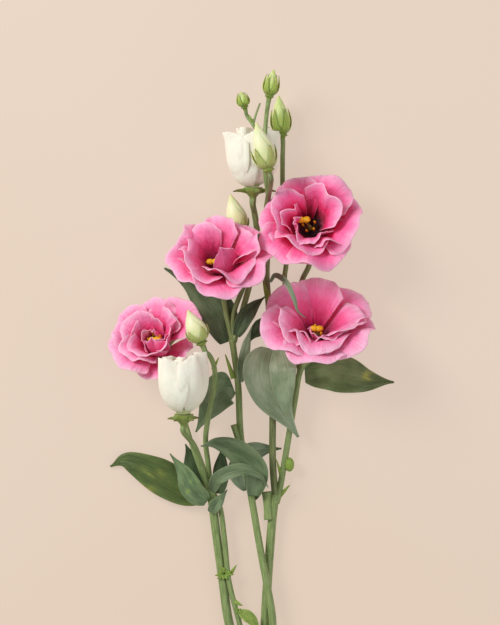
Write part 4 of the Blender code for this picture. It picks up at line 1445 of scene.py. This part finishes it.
LEAVES = (
    Leaf("leaf_long_left", ((-14.5, 60, 2.9), (-22, 80, 2.2), (-36, 97, 1.5), (-57, 109, 1)),
         25, LeafTone.DEEP, fold=3),
    Leaf("leaf_dark_middle", ((-9, 64, 9), (-3.5, 76, 10.4), (3, 84, 10.6), (10, 90, 9.8)),
         11, LeafTone.DARK, fold=16, wave=1.2),
    Leaf("leaf_narrow", ((-6.2, 33.5, 8.8), (-4.5, 46, 11), (-2, 60, 12.5), (1, 70, 12)), 7.5),
    Leaf("leaf_hanging", ((15, 55, 8.1), (13, 40, 15), (18, 20, 15), (32, -3, 11)), 36,
         fold=14),
    Leaf("leaf_right", ((36.5, 38.5, 2.2), (56, 39.5, 1.8), (77, 34.5, 0.4), (96, 33, -1)), 25,
         LeafTone.SPOTTED, fold=2, wave=0.3),
    Leaf("leaf_far_left", ((-30.6, -43, 3.3), (-46, -37, 3.6), (-64, -27, 5.5),
                           (-82, -19, 4), (-93, -23, 1)), 24, LeafTone.GLOSSY, fold=6),
    Leaf("leaf_yellowed", ((-28.8, -46, 8.8), (-38, -38, 14), (-44, -26, 16), (-53, -14, 14)),
         15, LeafTone.YELLOWED),
    Leaf("leaf_dark_left", ((-30.5, -37, 2.2), (-36, -28, 1.4), (-39, -18, 1.2),
                            (-43, -8, 1.2)), 16, LeafTone.DARK, fold=3, wave=0.2),
    Leaf("leaf_dark_inner", ((-20.5, -41, 4.2), (-19.6, -30, 3.9), (-19, -19, 3.9),
                             (-18, -8, 3.9)), 11, LeafTone.DARK, fold=3, wave=0.2),
    Leaf("leaf_drooping", ((-11.6, 31, 5.5), (-19, 28, 5.5), (-27, 16, 4.6), (-36, 0, 3.4)), 24,
         LeafTone.MIDDLE, fold=8),
    Leaf("leaf_arching", ((2.5, -42, 11.4), (4, -25, 17), (-9, -12, 18.5), (-22, -7, 18),
                          (-32.5, -9, 15)), 17, LeafTone.MIDDLE),
    Leaf("leaf_pale_behind", ((0, -38, 4.5), (-4, -24, 1.6), (4, -13, 1.2), (21, -11, 1.2)), 21,
         LeafTone.PALE, fold=3, wave=0.2),
    Leaf("leaf_small_arch", ((-25, -39, 10.2), (-21, -30, 18), (-7, -24, 22), (6, -28, 21),
                             (12, -36, 18)), 9, LeafTone.MIDDLE),
    Leaf("leaf_clasping", ((-26.5, -53, 9.4), (-21, -46, 11), (-15, -38, 11)), 8,
         LeafTone.MIDDLE),
    Leaf("leaf_curled", ((13.6, 100, 8.6), (17, 104, 24), (24, 99, 38), (29, 88, 43),
                         (31, 81, 43), (36, 76, 41)), 3.6, wave=0.3),
    Leaf("leaf_dark_small", ((1.5, -45, 4.6), (4, -39, 2.2), (6.5, -32, 1.4),
                             (7.5, -26, 1.2)), 8, LeafTone.DARK, fold=3, wave=0.2),
    Leaf("leaf_behind_right", ((11, 75, 2.8), (7, 70, 2.0), (2.5, 65, 1.4), (0, 60, 1.2)), 10,
         LeafTone.DARK, fold=3, wave=0.2),
    Leaf("leaf_at_crossing", ((-6.6, -119, 9.1), (1, -124, 11.5), (8, -136, 12.5)), 8,
         LeafTone.SHOOT),
)

STEMS = (
    # main stem and its cut end, then the four limbs that leave it
    Stem(((6, -236, 3.0), (6, -205, 3.0), (5, -170, 3.4)), 3.2, 3.4),
    Stem(((5, -180, 3.6), (-5, -158, 4), (-14, -127, 4.5), (-18, -100, 5), (-22, -71, 5.5),
          (-25, -48, 6), (-27, -36, 6.5)), 3.2, 2.8),
    Stem(((4, -174, 4), (-7, -127, 7), (-14, -99, 8), (-17, -71, 7.5), (-20, -50, 7),
          (-26, -38, 7)), 1.8, 1.8),
    Stem(((6, -180, 3.6), (12, -150, 7.5), (15, -127, 9.5), (11, -100, 10.5), (7, -79, 10),
          (1, -44, 8), (-6, -5, 6.5), (-8, 32, 6), (-12, 62, 6)), 2.7, 2.1),
    Stem(((6, -180, 3.6), (9, -150, 4), (10, -127, 4), (11, -108, 4), (13, -79, 4.5),
          (15, -55, 5), (17, -41, 5.5)), 3.3, 2.8),
    # cut stubs
    Stem(((12.5, -58, 6), (11, -39.5, 6.5)), 2.9, 2.9),
    Stem(((-6, -12, 7.5), (-11, 5, 9.5)), 1.8, 1.8),
    # left node: to the lower white bloom, the left bloom and the left bud
    Stem(((-27, -40, 7), (-31, -24, 15), (-37, -8, 27)), 1.9, 1.8, "white_left"),
    Stem(((-27, -40, 6), (-33, -24, 6.5), (-38, -10, 6), (-44, 9, 5), (-50, 28, 3.5),
          (-55, 42, 2.6)), 1.7, 1.6, "bloom_left"),
    Stem(((-26, -38, 7), (-28, -20, 8), (-29.5, -4, 10), (-27, 14, 12), (-23.5, 31, 16),
          (-23.6, 43, 25), (-26.2, 50.5, 35)), 1.8, 1.6, "bud_left"),
    # middle node: to the middle bloom, the bud behind it and the upper white bloom
    Stem(((-11.5, 60, 6), (-15, 75, 6), (-17.5, 88, 5.5)), 1.8, 1.7, "bloom_middle", 0.35),
    Stem(((-12, 60, 6), (-10.5, 80, 6), (-4.5, 97, 5), (-2.5, 112, 5)), 1.7, 1.6,
         "bud_behind", 0.3),
    Stem(((-11, 60, 6), (-3, 88, 6), (3, 112, 5), (4.6, 132, 4.4), (3, 145, 8)), 2.0, 2.0,
         "white_top", 0.3),
    # right node, left limb: to the front bud, the summit and the small bud
    Stem(((17, -45, 5.5), (15, -18, 5.5), (15, 30, 5.5), (13, 75, 5.5), (11, 104, 7),
          (12, 130, 9), (11, 147, 13), (12, 156, 23), (13.2, 162, 36)), 2.4, 1.6,
         "bud_front", 0.7),
    Stem(((12.2, 156.6, 24), (10.5, 166, 31), (9.5, 178, 33.4), (9.5, 192, 33.4),
          (10.5, 206, 31)), 1.5, 1.4, "bud_summit"),
    Stem(((9.5, 188, 33.4), (5.2, 197, 34.4), (1.8, 203, 33.4)), 1.1, 1.1, "bud_small"),
    Stem(((1.8, 203, 33.4), (4, 210, 33), (6.6, 217, 33)), 0.9, 0.5),
    # right node, right limb: to the right bloom, the top bloom and two buds
    Stem(((17, -47, 5.5), (19, -41, 5.5), (22, -25, 5.5), (26, -1, 5), (30, 23, 4.5),
          (32.5, 38, 4.6), (36, 45, 5.8)), 2.2, 1.9, "bloom_right"),
    Stem(((33, 40, 4), (34, 56, 2.6), (33, 75, 2.4), (34, 98, 2.4), (39, 110, 2.4),
          (43, 122, 2.4)), 1.8, 1.8, "bloom_top", 0.5),
    Stem(((33, 42, 3.4), (28, 60, 2.6), (25, 84, 3), (23, 102, 3.6), (24, 114, 4),
          (22, 140, 4), (21.6, 164, 4), (21.6, 180, 5.5)), 1.7, 1.6, "bud_upper", 0.2),
    Stem(((41.5, 117, 2.8), (52, 128, 4), (60, 138, 8)), 1.2, 1.2, "bud_far_right"),
)

SPURS = (
    # small bracts at the nodes, each a short spike that leaves the stem
    ((-15, -92, 8), (-21, -89, 9), 1.3),
    ((-15, -95, 8), (-22, -97, 9), 1.2),
    ((-13, -94, 8), (-9, -88, 10), 1.2),
    ((-11, -112, 7.6), (-5, -115, 10), 1.6),
    ((13, 86, 6), (8.6, 101, 9), 2.2),
    ((20, -42, 5.5), (26.5, -35, 7), 1.3),
    ((21, -30, 5.5), (17.5, -18, 8), 1.1),
    ((-11, 36, 7.5), (-16.5, 52, 11), 1.5),
    ((-24.4, 42, 25), (-20.5, 50, 26), 1.1),
    ((2, 204, 33.4), (-1, 209.6, 34), 0.9),
)
# the oval green gall on the right limb: place, direction and half sizes
KNOB = ((26.2, -21.5, 6.8), (0, -1, 0), (3.2, 3.0, 4.7))
TUFTS = (((-17, -94, 8.0), 5.4, 11), ((-7, -118.5, 8.4), 3.2, 8))

# Petal colours: the dark root stops are partly the throat's crimson and partly painted shade
# deep in the cup; the colour given after the outer side's is a painted highlight on the rims.
PINK = PetalFinish(
    "pink_skin",
    ((0.0, (70, 4, 28)), (0.2, (138, 6, 54)), (0.4, (206, 30, 96)), (0.6, (244, 68, 134)),
     (0.8, (255, 118, 174)), (1.0, (255, 172, 212))),
    (200, 18, 92), (252, 114, 170), (255, 192, 222), 0.16, 0.2,
)
# near-black root stops: painted shade deep in the cup over the throat's crimson
DEEP = replace(
    PINK, name="deep_pink_skin", flare=0.26,
    stops=((0.0, (14, 4, 6)), (0.2, (50, 1, 12)), (0.38, (160, 2, 54)),
           (0.58, (238, 32, 110)), (0.8, (255, 106, 168)), (1.0, (255, 166, 208))),
)
SOFT = replace(
    PINK, name="soft_pink_skin",
    stops=((0.0, (84, 10, 40)), (0.2, (154, 18, 72)), (0.4, (220, 46, 114)),
           (0.6, (250, 90, 152)), (0.8, (255, 136, 188)), (1.0, (255, 182, 218))),
)
CREAM = PetalFinish(
    "cream_skin",
    ((0.0, (206, 214, 150)), (0.14, (236, 238, 200)), (0.4, (252, 248, 228)),
     (1.0, (255, 248, 236))),
    (236, 236, 208), (255, 252, 236), (255, 248, 238), 0.12, 0.3, relief=0.0004,
)
PALE_BUDS = ("bud_front", "bud_behind", "bud_left")
GREEN_BUD = BudFinish(
    "bud_green", ((0.0, (140, 166, 70)), (0.3, (190, 214, 116)), (0.7, (218, 236, 164)),
                  (1.0, (200, 220, 130))), (132, 160, 74))
PALE_BUD = BudFinish(
    "bud_pale", ((0.0, (190, 202, 120)), (0.25, (222, 230, 172)), (0.7, (234, 238, 200)),
                 (1.0, (222, 230, 166))), (182, 198, 124))
GREEN_BUD_SEPAL = BudFinish(
    "green_bud_sepal", ((0.0, (116, 140, 50)), (0.35, (164, 192, 86)),
                        (0.85, (178, 202, 104)), (1.0, (104, 92, 54))), (100, 126, 48))
PALE_BUD_SEPAL = BudFinish(
    "pale_bud_sepal", ((0.0, (136, 150, 64)), (0.3, (184, 200, 118)),
                       (0.85, (176, 190, 110)), (1.0, (110, 92, 56))), (132, 148, 66))
SEPAL_SKIN = BudFinish(
    "sepal_skin", ((0.0, (128, 146, 70)), (0.5, (126, 150, 66)), (0.85, (118, 126, 62)),
                   (1.0, (86, 74, 48))), (92, 116, 48))
BRACT_SKIN = BudFinish(
    "bract_skin", ((0.0, (136, 160, 70)), (0.6, (140, 172, 72)), (1.0, (120, 146, 58))),
    (100, 126, 48))
STEM_SKIN = StemFinish("stem_skin", (144, 164, 106), (110, 134, 76), (108, 104, 70),
                       (196, 204, 150))
STIGMA_SKIN = GrainFinish("stigma_skin", (252, 214, 36), (232, 172, 20))
STYLE_SKIN = GrainFinish("style_skin", (170, 178, 96), (128, 140, 60))
TABLE_SKIN = TableFinish((231, 212, 196), (228, 208, 190), 0.735, 0.28)


def main() -> None:
    """Build the spray round its solids, and the studio round the spray."""
    logging.basicConfig(level=logging.INFO, format="%(message)s")
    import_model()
    pink, soft = PINK.material(), SOFT.material()
    skins = {"bloom_top": DEEP.material(), "bloom_right": soft, "bloom_left": soft}
    cream, sepal = CREAM.material(), SEPAL_SKIN.material()
    style, stigma = STYLE_SKIN.material(), STIGMA_SKIN.material()
    for bloom in BLOOMS:
        bloom.corolla(skins.get(bloom.name, pink))
        bloom.calyx(sepal)
        bloom.pistil(style, stigma)
    for bloom in WHITE_BLOOMS:
        bloom.corolla(cream)
        bloom.calyx(sepal)
    green, pale = ((skin.material(), cover.material()) for skin, cover in (
        (GREEN_BUD, GREEN_BUD_SEPAL), (PALE_BUD, PALE_BUD_SEPAL)))
    for bud in BUDS:
        skin, cover = pale if bud.name in PALE_BUDS else green
        bud.body(skin)
        bud.calyx(cover)
    blades = {tone: tone.value.material() for tone in LeafTone}
    for leaf in LEAVES:
        leaf.build(blades[leaf.tone])
    StemWork(STEMS, SPURS, KNOB, TUFTS).build(
        BLOOMS + WHITE_BLOOMS, BUDS, STEM_SKIN.material(), BRACT_SKIN.material())
    Studio().build(TABLE_SKIN.material())


if __name__ == "__main__":
    main()
